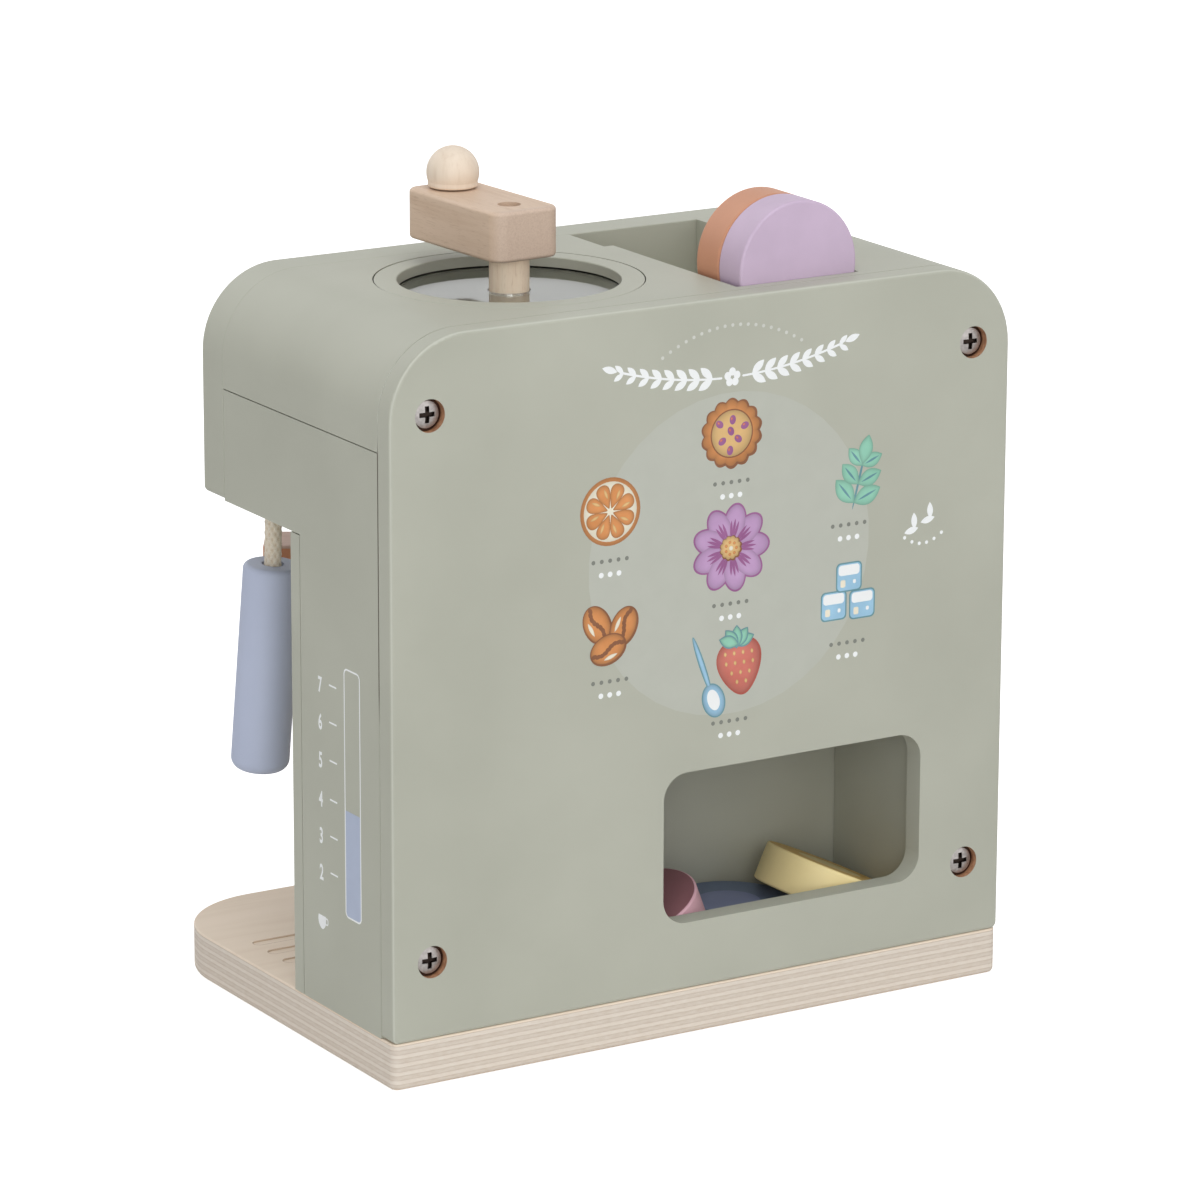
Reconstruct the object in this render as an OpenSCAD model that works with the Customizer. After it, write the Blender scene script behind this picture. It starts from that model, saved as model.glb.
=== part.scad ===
// Wooden toy coffee maker with a hand crank, pod well, pod window, steam wand and portafilter.
// +X is the side with the printed water gauge, -Y is the cup side, +Z is up.
// The origin is the middle of the base's underside.

/* [Body] */
// Width of the body and of the base
body_w = 240; // [220:1:260]
// Depth of the machine's head, from the cup side to the menu panel
body_d = 128.5; // [124:0.5:142]
// Depth of the base board, which stands out under the cup
base_d = 167; // [160:1:190]
// Height of the top above the table
body_h = 252; // [246:1:262]
// Height of the head above the cup space
head_h = 76.8; // [74:0.2:80]
// Height of the top block above the side boards
hood_h = 38.2; // [34:0.2:40]
// Depth of the column behind the cup space
column_d = 67; // [65:0.2:72]

/* [Boards] */
// Thickness of the base plywood
base_t = 16.2; // [14:0.1:18]
// Thickness of the menu panel
panel_t = 8; // [7:0.5:9]
// Thickness of the head's front panel
front_t = 15; // [14:0.5:17]
// Thickness of the two side boards
side_t = 28; // [27:1:30]
// Thickness of the board that closes the column's front
column_t = 6; // [5:0.5:7]
// Thickness of the inner boards
inner_t = 6; // [5:0.5:7]
// Thickness of the head's floor board
floor_t = 8; // [6:0.5:9]
// Hairline between painted boards
seam_gap = 0.4; // [0.2:0.1:0.5]
// Corner radius of the head seen from the back
head_r = 28; // [20:1:34]
// Corner radius of the base at the cup side
base_front_r = 35; // [20:1:45]
// Corner radius of the base at the menu side
base_back_r = 3; // [2.5:0.5:6]
// Rounding of the base's lower edge
base_low_r = 1.8; // [0.6:0.2:2.5]
// Rounding of the base's upper edge
base_top_r = 0.6; // [0.4:0.2:2.5]
// Rounding of the boards' outer edges
edge_r = 1.25; // [1:0.25:2.5]

/* [Window and pod well] */
// Lowest edge of the pod window
window_z = 39.5; // [38:0.5:44]
// Width of the pod window
window_w = 103.1; // [98:0.1:108]
// Height of the pod window
window_h = 52.6; // [48:0.2:58]
// Distance of the pod window from the plain side of the body
window_side = 33.4; // [32:0.1:36]
// Corner radius of the pod window
window_r = 9; // [6:0.5:14]
// Width of the pod well in the top
well_w = 48.2; // [46.8:0.1:49]
// Place of the pod well's middle, as a share of the width
well_share = 0.176; // [0.175:0.001:0.19]
// Depth of the pod well
well_depth = 19.4; // [16:0.2:24]
// Length of the wider finger bay at the well's front end
well_bay_l = 23.5; // [18:0.5:28]
// How much wider the finger bay is
well_bay_w = 3.6; // [2:0.1:5]
// Length of the slot through which a pod drops into the chamber
drop_l = 19.5; // [16:0.5:20]

/* [Pods] */
// Diameter of a pod
pod_d = 45.8; // [44:0.1:46]
// Thickness of a pod
pod_t = 13.6; // [11:0.1:13.8]
// Rounding of a pod's rims
pod_edge = 0.9; // [0.4:0.1:2]
// Lean of the pod that rests on the flat one, on the gauge side
rose_tilt = 21; // [19:0.5:24]
// Lean of the pod that rests on the flat one, on the other side
yellow_tilt = 25; // [23.5:0.1:27]

/* [Grinder] */
// Place of the crank's axis, as a share of the width
crank_share = 0.1646; // [0.16:0.0002:0.18]
// Distance of the crank's axis from the menu face
crank_back = 61.8; // [58:0.2:64]
// Outer diameter of the inset ring
ring_d = 90.8; // [84:0.2:92]
// Inner diameter of the inset ring
ring_hole = 74.6; // [66:0.2:78]
// Height of the inset ring
ring_t = 3.8; // [3:0.1:5]
// Thickness of the clear window
glass_t = 3; // [2:0.5:4]
// Diameter of the crank's shaft
shaft_d = 13.5; // [12:0.1:15]
// Diameter of the paddle rod in the hopper
paddle_d = 8; // [6:0.5:9]
// Length of the paddle rod
paddle_l = 62; // [50:1:64]

/* [Crank] */
// Gap between the top of the body and the crank arm
arm_gap = 8; // [7:0.5:12]
// Thickness of the crank arm
arm_t = 17; // [15:0.5:20]
// Width of the crank arm
arm_w = 26; // [24:0.5:30]
// Distance between the crank's axis and the knob's
arm_reach = 34; // [30:0.5:42]
// Wood behind the crank's axis
arm_tail = 11.8; // [11:0.1:15]
// Wood beyond the knob's axis
arm_nose = 10.2; // [9:0.1:14]
// Turn of the resting arm from the cup direction towards the gauge side
arm_turn = 3.2; // [0:0.1:20]
// Radius of the arm's upright corners
arm_r = 5; // [4:0.25:7]
// Diameter of the knob
knob_d = 17.8; // [16:0.1:20]
// Height of the knob
knob_h = 13.8; // [13:0.1:17]

/* [Steam wand] */
// Distance of the rope's hole from the body's gauge side
rope_side = 16; // [14:0.5:16.5]
// Distance of the rope's hole from the head's front face
rope_in = 20; // [18:0.5:26]
// Diameter of the braided rope
rope_d = 6; // [5:0.1:6.2]
// Diameter of the steam handle
wand_d = 20; // [18:0.5:21]
// Length of the steam handle
wand_l = 73; // [64:1:76]

/* [Portafilter] */
// Diameter of the group head
group_d = 56; // [50:1:60]
// Height of the group head
group_h = 18; // [16:1:20]
// Thickness of the turning disc under the group head
disc_t = 6.8; // [6:0.1:8]
// Diameter of the portafilter's bowl
bowl_d = 52; // [46:1:54]
// Height of the portafilter's bowl
bowl_h = 21; // [19:0.5:24]
// Reach of the portafilter's handle from the group's axis
handle_reach = 101; // [90:1:102]
// Width of the portafilter's handle
handle_w = 22; // [17:0.5:23]
// Height of the portafilter's handle
handle_h = 16; // [14:0.5:17]
// Turn of the resting handle from the cup direction towards the gauge side
handle_turn = 59; // [40:1:70]

/* [Controls] */
// Height of the controls above the head's underside
control_h = 20.5; // [19:0.5:22]
// Distance of the push buttons from the middle
button_x = 48; // [40:1:56]
// Diameter of a push button
button_d = 22; // [18:0.5:23]
// How far a push button stands out
button_out = 7; // [6:0.5:9]
// Travel of a push button
button_travel = 4; // [3:0.5:4.5]
// Diameter of the selector dial
dial_d = 38; // [32:1:40]
// Thickness of the selector dial
dial_t = 6; // [5:0.5:8]
// Height of the dial's grip bar
dial_grip = 9; // [7:0.5:12]
// Diameter of the dial's spindle
spindle_d = 8; // [7:0.5:9]

/* [Fasteners] */
// Diameter of the counterbores in the menu panel
counterbore_d = 11; // [10:0.5:13]
// Depth of those counterbores
counterbore_h = 4; // [3.5:0.25:4.5]
// Distance of the panel screws from the body's sides
screw_in = 14.8; // [13:0.1:16]
// Distance of the panel screws from the body's top and from the base
screw_up = 26.3; // [22:0.1:30]
// Shank diameter of the wood screws
screw_d = 4; // [3.5:0.25:4.5]
// Head diameter of the wood screws
screw_head = 8.4; // [7.5:0.1:9]
// Head diameter of the panel screws
panel_head = 9.3; // [8:0.1:9.6]
// Diameter of the beech dowels
dowel_d = 8; // [6:0.5:8]

/* [Fits] */
// Radial play of turning and sliding wood
run_fit = 0.1; // [0.05:0.01:0.1]
// Play between loose pieces
loose_fit = 0.3; // [0.25:0.05:0.4]
// Glued joint between painted boards
glue_gap = 0.12; // [0.1:0.01:0.2]
// Width of the drip grooves in the base
groove_w = 4.5; // [3:0.25:6]
// Depth of the drip grooves
groove_h = 0.4; // [0.3:0.1:3]
// Distance between the drip grooves
groove_pitch = 10.9; // [9:0.1:12]
// Number of drip grooves
groove_n = 5; // [3:1:5]

/* [Hidden] */
$fn = 72;

// paints and woods
sage = [0.70, 0.71, 0.64];
sage_dark = [0.60, 0.61, 0.55];
birch = [0.80, 0.70, 0.56];
beech = [0.84, 0.72, 0.58];
steel = [0.72, 0.72, 0.70];
lilac = [0.75, 0.67, 0.77];
terracotta = [0.74, 0.45, 0.33];
navy = [0.36, 0.41, 0.50];
ochre = [0.83, 0.75, 0.50];
rose = [0.58, 0.38, 0.43];
slate = [0.62, 0.65, 0.74];
cream = [0.84, 0.78, 0.69];

// main planes
y_back = base_d / 2;
y_back_in = y_back - panel_t;
y_front = y_back - body_d;
y_front_in = y_front + front_t;
y_column = y_back - column_d;
y_column_in = y_column + column_t;
x_side = body_w / 2;
x_side_in = x_side - side_t;
head_z = body_h - head_h;
seam_z = body_h - hood_h;
control_z = head_z + control_h;
window_x = -x_side + window_side + window_w / 2;

// pod well and chamber
well_x = -body_w * well_share;
well_floor = body_h - well_depth;
well_lo = well_x - well_w / 2;
well_hi = well_x + well_w / 2;
well_back = y_back_in - 4;
pod_r = pod_d / 2;
pod_floor = base_t + loose_fit;
rose_run = (pod_t + loose_fit) / tan(rose_tilt);
yellow_run = (pod_t + loose_fit) / tan(yellow_tilt);
navy_x = -x_side_in + loose_fit + pod_t * sin(yellow_tilt) + yellow_run + pod_r;
divider_x = navy_x + pod_r + rose_run + pod_t * sin(rose_tilt) + 4 * loose_fit;
divider_top = seam_z - 16.6;
drop_y = y_column_in + loose_fit;

// grinder
crank_x = body_w * crank_share;
crank_y = y_back - crank_back;
arm_z = body_h + arm_gap;
arm_top = arm_z + arm_t;
glass_z = body_h - ring_t - glass_t;
hopper_z = seam_z - inner_t;
paddle_z = (glass_z + seam_z) / 2 - 2;
shaft_end = hopper_z - 4;
washer_t = 2;
arm_socket = 8;
knob_gap = 0.5;

// group head and portafilter
group_y = y_front + 32;
disc_z = head_z - group_h - disc_t - loose_fit;
bowl_top = disc_z - loose_fit;
bowl_z = bowl_top - bowl_h;
magnet_d = 5;
magnet_t = 3;
magnet_r = bowl_d / 2 - 3.6;

// steam wand: the rope's route is a hand-chosen line through the handle
rope_x = x_side - rope_side;
rope_y = y_front + rope_in;
wand_lean = [-4, -2.6, 0];
wand_top = [rope_x + 0.1, rope_y - 0.8, head_z - 23];
ROPE = [[0, 0, 0], [0, -0.4, -12], [0.1, -0.8, -23], [1.5, -2.9, -53], [2.9, -5.1, 11.6 - 23 - wand_l]];
knot_d = 9.4;
knot_back = 2.5;

// fasteners
PANEL_SCREWS = [for (s = [-1, 1], z = [base_t + screw_up, body_h - screw_up]) [s * (x_side - screw_in), z]];
dowel_x = x_side - side_t / 2;
hood_dowel_y = [y_front_in + 28, y_back_in - 34];
front_dowel_z = [head_z + 8, body_h - 18];
base_screw_y = [y_column_in + 12, y_back_in - 14];

// ---- shared shapes ----

// Cross-section of a board's rim: x runs outwards from 0 to `depth`, y is the thickness,
// and the two outer corners are rounded by lo and hi.
module rim_profile(depth, t, lo, hi) {
    square([depth - lo, lo]);
    translate([0, lo]) square([depth, t - lo - hi]);
    translate([0, t - hi]) square([depth - hi, hi]);
    rim_corner(depth, t, lo) translate([depth - lo, lo]) circle(lo);
    rim_corner(depth, t, hi) translate([depth - hi, t - hi]) circle(hi);
}

// A rim thinner than its rounding's width is cut off at the middle
module rim_corner(depth, t, r) {
    if (depth < 2 * r) intersection() {
        children();
        translate([0, -t]) square([depth + t, 3 * t]);
    }
    else children();
}

// A board lying in XY with its own radius at each corner and rounded edges.
// radii go round from the +X+Y corner; lo and hi round the bottom and top edges.
module edged_plate(w, h, t, radii, lo, hi) {
    band = max(lo, hi) + 0.5;
    sx = [1, -1, -1, 1];
    sy = [1, 1, -1, -1];
    c = [for (i = [0:3]) [sx[i] * (w / 2 - radii[i]), sy[i] * (h / 2 - radii[i])]];
    out = [[1, 0], [0, 1], [-1, 0], [0, -1]];
    linear_extrude(t) polygon([for (i = [0:3], k = [0:2])
        c[i] + (k == 1 ? [0, 0] : (radii[i] - band + 0.2) * out[(i + k / 2) % 4])]);
    for (i = [0:3]) {
        n = (i + 1) % 4;
        l = norm(c[n] - c[i] + radii[n] * out[n] - radii[i] * out[n]);
        translate(c[i]) rotate(90 * i) rotate_extrude(angle = 90) rim_profile(radii[i], t, lo, hi);
        translate(c[i]) rotate(90 * n) translate([radii[i] - band, l, 0]) rotate([90, 0, 0])
            linear_extrude(l) rim_profile(band, t, lo, hi);
    }
}

// A board that stands in XZ, with rounded top corners and its face towards +Y.
module standing_panel(w, h, t, r, edge) {
    rotate([-90, 0, 0]) mirror([0, 1, 0]) translate([0, h / 2, 0])
        edged_plate(w, h, t, [r, r, edge + 1, edge + 1], 0.4, edge);
}

// Block with its long axis along Y whose two upper ends are rounded.
module arched_block(w, z0, z1, y0, y1, r) {
    translate([0, y1, 0]) rotate([90, 0, 0]) linear_extrude(y1 - y0) intersection() {
        translate([-w / 2, z0]) square([w, z1 - z0]);
        union() {
            translate([-w / 2, z0 - r]) square([w, z1 - z0]);
            translate([r - w / 2, z0]) square([w - 2 * r, z1 - z0]);
            for (s = [-1, 1]) translate([s * (w / 2 - r), z1 - r]) circle(r);
        }
    }
}

// Stadium outline of a given end-to-end length along X
module stadium(l, w) {
    square([l - w, w], center = true);
    for (s = [-1, 1]) translate([s * (l - w) / 2, 0]) circle(w / 2);
}

// Rectangle with four equal corner radii
module soft_rect(w, h, r) {
    square([w - 2 * r, h], center = true);
    square([w, h - 2 * r], center = true);
    for (x = [-1, 1], y = [-1, 1]) translate([x * (w / 2 - r), y * (h / 2 - r)]) circle(r);
}

module box(lo, hi) {
    translate(lo) cube(hi - lo);
}

// Pan-head wood screw, pointing down, with its head's underside at z = 0
module pan_screw(d, l, head_d, head_h) {
    difference() {
        union() {
            rotate_extrude() intersection() {
                square([head_d / 2, head_h]);
                translate([0, head_h - head_d * 1.7]) circle(head_d * 1.7);
            }
            translate([0, 0, 2 - l]) cylinder(d = d, h = l - 2 + 0.01);
            translate([0, 0, -l]) cylinder(d1 = 0.6, d2 = d, h = 2);
        }
        for (a = [0, 90]) rotate(a) translate([0, 0, head_h])
            cube([head_d * 0.6, head_d * 0.17, head_h * 1.2], center = true);
    }
}

// Round peg with chamfered ends, standing on z = 0
module peg(d, l) {
    c = 0.8;
    rotate_extrude() polygon([[0, 0], [d / 2 - c, 0], [d / 2, c], [d / 2, l - c], [d / 2 - c, l], [0, l]]);
}

// Tube swept along a list of points, with a radius at each point
function ring_at(p, dir, r, n) =
    let (u = dir / norm(dir), a = cross(u, [0, 1, 0.2]) / norm(cross(u, [0, 1, 0.2])), b = cross(u, a))
    [for (i = [0:n - 1]) p + r * (cos(360 * i / n) * a + sin(360 * i / n) * b)];

module swept_tube(pts, radii, n) {
    m = len(pts);
    dirs = [for (i = [0:m - 1]) pts[min(i + 1, m - 1)] - pts[max(i - 1, 0)]];
    verts = [for (i = [0:m - 1]) each ring_at(pts[i], dirs[i], radii[i], n)];
    sides = [for (i = [0:m - 2], k = [0:n - 1])
        [i * n + k, i * n + (k + 1) % n, (i + 1) * n + (k + 1) % n, (i + 1) * n + k]];
    polyhedron(verts, concat(sides, [[for (k = [n - 1:-1:0]) k]], [[for (k = [0:n - 1]) (m - 1) * n + k]]));
}

// A wooden pod lying on z = 0, with softened rims
module pod() {
    rotate_extrude() rim_profile(pod_r, pod_t, pod_edge, pod_edge);
}

// ---- base and body ----

module base_plate() {
    color(birch) difference() {
        edged_plate(body_w, base_d, base_t, [base_back_r, base_back_r, base_front_r, base_front_r],
            base_low_r, base_top_r);
        drip_grooves();
        at_base_screws() {
            translate([0, 0, -1]) cylinder(d = screw_head + 1, h = 5);
            cylinder(d = screw_d + 0.4, h = base_t + 1);
        }
    }
}

module drip_grooves() {
    first = y_column - 5.6;
    for (i = [0:groove_n - 1])
        translate([0, first - i * groove_pitch, base_t - groove_h])
            linear_extrude(groove_h + 1) stadium(body_w - 20.8, groove_w);
}

module at_base_screws() {
    for (s = [-1, 1], y = base_screw_y) translate([s * dowel_x, y, 0]) children();
}

module base_screws() {
    color(steel) at_base_screws() translate([0, 0, 4]) mirror([0, 0, 1])
        pan_screw(screw_d, 32, screw_head, 3);
}

module at_panel_screws() {
    for (p = PANEL_SCREWS) translate([p[0], y_back, p[1]]) rotate([-90, 0, 0]) children();
}

module back_panel() {
    color(sage) difference() {
        translate([0, y_back_in, base_t]) standing_panel(body_w, body_h - base_t, panel_t, head_r, edge_r);
        translate([window_x, y_back + 1, window_z + window_h / 2]) rotate([90, 0, 0])
            linear_extrude(panel_t + 2) soft_rect(window_w, window_h, window_r);
        at_panel_screws() {
            translate([0, 0, -counterbore_h]) cylinder(d = counterbore_d, h = counterbore_h + 1);
            translate([0, 0, -panel_t - 1]) cylinder(d = screw_d + 0.4, h = panel_t + 1);
        }
    }
}

module panel_screws() {
    color(steel) at_panel_screws() translate([0, 0, -counterbore_h]) pan_screw(screw_d, 30, panel_head, 2.3);
}

module panel_pilots() {
    at_panel_screws() translate([0, 0, -panel_t - 27]) cylinder(d = screw_d + 0.2, h = 30);
}

module front_panel() {
    color(sage) difference() {
        translate([0, y_front_in, head_z]) rotate(180)
            standing_panel(body_w, body_h - head_z, front_t, head_r, edge_r);
        for (s = [-1, 1]) translate([s * button_x, y_front_in + 1, control_z]) rotate([90, 0, 0]) {
            cylinder(d = button_d + 2 * run_fit, h = front_t + 2);
            cylinder(d = flange_d + 1, h = button_bay + 1);
        }
        translate([0, y_front_in + 1, control_z]) rotate([90, 0, 0])
            cylinder(d = spindle_d + 2 * run_fit, h = front_t + 2);
        front_dowel_holes();
    }
}

module hood_block() {
    color(sage) difference() {
        arched_block(body_w, seam_z, body_h, y_front_in + glue_gap, y_back_in - glue_gap, head_r);
        box([well_lo, y_front_in - 1, well_floor], [well_hi, well_back, body_h + 1]);
        box([well_lo, y_front_in - 1, well_floor], [well_hi + well_bay_w, y_front_in + well_bay_l, body_h + 1]);
        box([well_lo, drop_y, seam_z - 1], [well_hi, drop_y + drop_l, well_floor + 1]);
        translate([crank_x, crank_y, glass_z]) cylinder(d = ring_d, h = body_h);
        translate([crank_x, crank_y, seam_z - 1]) cylinder(d = ring_hole, h = body_h);
        panel_pilots();
        hood_dowel_holes();
        front_dowel_holes();
        hopper_screw_holes();
    }
}

module side_board(side) {
    difference() {
        translate([side > 0 ? x_side_in : -x_side, 0, 0]) rotate([90, 0, 90]) linear_extrude(side_t)
            polygon([
                [y_back_in - seam_gap, base_t], [y_back_in - seam_gap, seam_z - seam_gap],
                [y_front_in + seam_gap, seam_z - seam_gap], [y_front_in + seam_gap, head_z],
                [y_column_in + seam_gap, head_z], [y_column_in + seam_gap, base_t]
            ]);
        panel_pilots();
        hood_dowel_holes();
        front_dowel_holes();
        at_base_screws() cylinder(d = screw_d + 0.2, h = 36);
    }
}

module gauge_side_board() {
    color(sage) difference() {
        side_board(1);
        translate([rope_x, rope_y, head_z - 1]) cylinder(d = rope_d + 0.6, h = 30);
        translate([rope_x, rope_y, head_z - 0.01]) cylinder(d1 = rope_d + 8, d2 = rope_d, h = 4);
        translate([rope_x, rope_y + knot_back, head_z + 15]) cylinder(d = knot_d + 2.6, h = 40);
    }
}

module plain_side_board() {
    color(sage) side_board(-1);
}

module column_board() {
    color(sage) box([-x_side, y_column, base_t], [x_side, y_column_in, head_z - seam_gap]);
}

module head_floor() {
    color(sage_dark) difference() {
        box([-x_side_in, y_front_in, head_z], [x_side_in, y_column_in, head_z + floor_t]);
        at_group_screws() translate([0, 0, -1]) cylinder(d = screw_d + 0.4, h = floor_t + 2);
    }
}

module hopper_floor() {
    color(birch) difference() {
        box([crank_x - ring_d / 2, crank_y - ring_d / 2, hopper_z],
            [min(crank_x + ring_d / 2, x_side_in - seam_gap), crank_y + ring_d / 2, seam_z]);
        translate([crank_x, crank_y, hopper_z - 1]) cylinder(d = shaft_d + 2 * run_fit, h = inner_t + 2);
        hopper_screw_holes();
    }
}

module at_hopper_screws() {
    for (x = [-1, 1], y = [-1, 1]) translate([crank_x + x * (ring_d / 2 - 5), crank_y + y * (ring_d / 2 - 5), hopper_z])
        children();
}

module hopper_screw_holes() {
    at_hopper_screws() translate([0, 0, -1]) cylinder(d = 3.2, h = 20);
}

module hopper_screws() {
    color(steel) at_hopper_screws() mirror([0, 0, 1]) pan_screw(3, 16, 6, 2);
}

module chamber_divider() {
    color(sage_dark) box([divider_x, y_column_in, base_t], [divider_x + inner_t, y_back_in, divider_top]);
}

module chute_wall() {
    color(sage_dark) box([-x_side_in, y_column, head_z + floor_t], [divider_x - 5, y_column_in, hopper_z - seam_gap]);
}

module at_hood_dowels() {
    for (s = [-1, 1], y = hood_dowel_y) translate([s * dowel_x, y, seam_z - 12]) children();
}

module hood_dowel_holes() {
    at_hood_dowels() cylinder(d = dowel_d + 0.1, h = 24);
}

module hood_dowels() {
    color(beech) at_hood_dowels() translate([0, 0, 0.5]) peg(dowel_d, 23);
}

module at_front_dowels() {
    for (s = [-1, 1], z = front_dowel_z)
        translate([s * (x_side_in + dowel_d / 2 + 0.5), y_front_in - 9, z]) rotate([-90, 0, 0]) children();
}

module front_dowel_holes() {
    at_front_dowels() cylinder(d = dowel_d + 0.1, h = 22);
}

module front_dowels() {
    color(beech) at_front_dowels() translate([0, 0, 0.5]) peg(dowel_d, 21);
}

// ---- grinder and crank ----

module at_crank() {
    translate([crank_x, crank_y, 0]) children();
}

module grinder_ring() {
    color(sage) at_crank() translate([0, 0, body_h - ring_t]) rotate_extrude() {
        w = (ring_d - ring_hole) / 2 - loose_fit;
        translate([ring_hole / 2 + w / 2, 0]) rim_profile(w / 2, ring_t, 0.3, 0.5);
        translate([ring_hole / 2 + w / 2, 0]) mirror([1, 0]) rim_profile(w / 2, ring_t, 0.3, 0.5);
    }
}

module grinder_window() {
    color([0.9, 0.95, 0.95, 0.4]) at_crank() translate([0, 0, glass_z]) difference() {
        cylinder(d = ring_d - 2 * loose_fit, h = glass_t - 0.02);
        translate([0, 0, -1]) cylinder(d = shaft_d + 2 * loose_fit, h = glass_t + 2);
    }
}

module crank_shaft() {
    top = arm_z + arm_socket - 0.1;
    color(beech) at_crank() difference() {
        translate([0, 0, shaft_end]) cylinder(d = shaft_d, h = top - shaft_end);
        translate([0, 0, paddle_z]) rotate([0, 90, 0]) cylinder(d = paddle_d + 0.1, h = shaft_d + 2, center = true);
        translate([0, 0, top - 18]) cylinder(d = 3.6, h = 20);
        translate([0, 0, shaft_end - 1]) cylinder(d = 3.2, h = 16);
    }
}

module bean_paddle() {
    color(beech) at_crank() translate([-paddle_l / 2, 0, paddle_z]) rotate([0, 90, 0]) peg(paddle_d, paddle_l);
}

module shaft_washer() {
    color(birch) at_crank() translate([0, 0, shaft_end - washer_t]) difference() {
        cylinder(d = shaft_d + 7, h = washer_t);
        translate([0, 0, -1]) cylinder(d = 3.2, h = washer_t + 2);
    }
}

module shaft_screw() {
    color(steel) at_crank() translate([0, 0, shaft_end - washer_t]) mirror([0, 0, 1]) pan_screw(3, 15, 7, 2.2);
}

// Frame of the resting arm: the crank's axis at the origin, the knob towards -Y
module at_arm() {
    at_crank() rotate(arm_turn) children();
}

module crank_arm() {
    l = arm_tail + arm_reach + arm_nose;
    color(beech) at_arm() difference() {
        translate([0, arm_tail - l / 2, arm_z])
            edged_plate(arm_w, l, arm_t, [arm_r, arm_r, arm_r, arm_r], 1.3, 1.3);
        translate([0, 0, arm_z - 1]) cylinder(d = shaft_d + 0.1, h = arm_socket + 1);
        translate([0, 0, arm_z]) cylinder(d = 3.8, h = arm_t + 1);
        translate([0, 0, arm_top - 5]) cylinder(d = 7.8, h = 6);
        translate([0, -arm_reach, arm_z - 1]) cylinder(d = 7.8, h = 4);
        translate([0, -arm_reach, arm_z]) cylinder(d = 4.1, h = arm_t + 1);
    }
}

module arm_screw() {
    color(steel) at_crank() translate([0, 0, arm_top - 5]) pan_screw(3.5, 22, 7, 2.4);
}

module knob_pin() {
    color(steel) at_arm() translate([0, -arm_reach, arm_z + 0.6]) {
        cylinder(d = 7, h = 2.4);
        cylinder(d = 4, h = arm_t + 9);
    }
}

module crank_knob() {
    foot = 5.6;
    color(beech) at_arm() translate([0, -arm_reach, arm_top + knob_gap]) difference() {
        rotate_extrude() intersection() {
            square([knob_d / 2, knob_h]);
            union() {
                translate([0, knob_h - knob_d / 2]) circle(d = knob_d);
                rim_profile(knob_d / 2 - 0.5, foot, 0.8, 0.4);
            }
        }
        translate([0, 0, -1]) cylinder(d = 4 + 2 * run_fit, h = 11);
    }
}

// ---- pods ----

module well_pod(n) {
    y = well_back - loose_fit - n * (pod_t + loose_fit);
    translate([well_x - 0.4, y, well_floor + pod_r + 0.05]) rotate([90, 0, 0]) pod();
}

module pod_lilac() {
    color(lilac) well_pod(0);
}

module pod_terracotta() {
    color(terracotta) well_pod(1);
}

chamber_y = y_column_in + loose_fit + pod_r;

module pod_navy() {
    color(navy) translate([navy_x, chamber_y, base_t + 0.05]) pod();
}

// A pod that rests with its low rim on the floor, `run` away from the flat pod, and its
// underside on the flat pod's rim. s is +1 for a pod on the +X side of the flat one.
module leaning_pod(s, tilt, run) {
    low_x = navy_x + s * (pod_r + run);
    lean_y = y_back_in - pod_r - 2 * loose_fit;
    translate([low_x, lean_y, pod_floor]) rotate([0, s * tilt, 0]) translate([-s * pod_r, 0, 0]) pod();
}

module pod_yellow() {
    color(ochre) leaning_pod(-1, yellow_tilt, yellow_run);
}

module pod_rose() {
    color(rose) leaning_pod(1, rose_tilt, rose_run);
}

// ---- steam wand ----

module rope_top_knot() {
    color(cream) translate([rope_x, rope_y, head_z]) {
        translate([0, 0, rope_d / 2]) cylinder(d = rope_d, h = 16);
        translate([0, knot_back, 15 + knot_d / 2 + 0.1]) sphere(d = knot_d);
    }
}

// The rope's end in the board is round, so that it can bend at the board's underside
module steam_rope() {
    r = rope_d / 2;
    cap = [12, 35, 62];
    pts = concat([for (a = cap) [0, 0, r * cos(a)]], ROPE);
    radii = concat([for (a = cap) r * sin(a)], [for (p = ROPE) r]);
    color(cream) translate([rope_x, rope_y, head_z]) swept_tube(pts, radii, 12);
}

module at_wand() {
    translate(wand_top) rotate(wand_lean) children();
}

module steam_handle() {
    color(slate) at_wand() translate([0, 0, -wand_l]) difference() {
        rotate_extrude() rim_profile(wand_d / 2, wand_l, 4, 2);
        translate([0, 0, -1]) cylinder(d = rope_d + 1.7, h = wand_l + 2);
        translate([0, 0, -1]) cylinder(d = knot_d + 2, h = 12);
    }
}

module rope_end_knot() {
    color(cream) at_wand() translate([0, 0, 6.2 - wand_l]) sphere(d = knot_d);
}

// ---- group head and portafilter ----

module at_group() {
    translate([0, group_y, 0]) children();
}

module at_group_screws() {
    for (a = [45:90:315]) translate([0, group_y, head_z]) rotate(a) translate([16, 0, 0]) children();
}

module group_head() {
    color(rose) difference() {
        at_group() translate([0, 0, head_z - group_h]) rotate_extrude()
            rim_profile(group_d / 2, group_h, 2.5, 0.5);
        at_group_screws() translate([0, 0, -12]) cylinder(d = screw_d + 0.2, h = 13);
        at_group() translate([0, 0, head_z - group_h - 1]) cylinder(d = 10 + 2 * run_fit, h = 12);
    }
}

module group_screws() {
    color(steel) at_group_screws() translate([0, 0, floor_t]) pan_screw(screw_d, 19, screw_head, 2.8);
}

module disc_pivot() {
    color(birch) at_group() translate([0, 0, disc_z + 3]) peg(10, group_h + disc_t - 14);
}

module at_magnets() {
    at_group() rotate(handle_turn) for (a = [0:90:270]) rotate(a) translate([magnet_r, 0, 0]) children();
}

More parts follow.
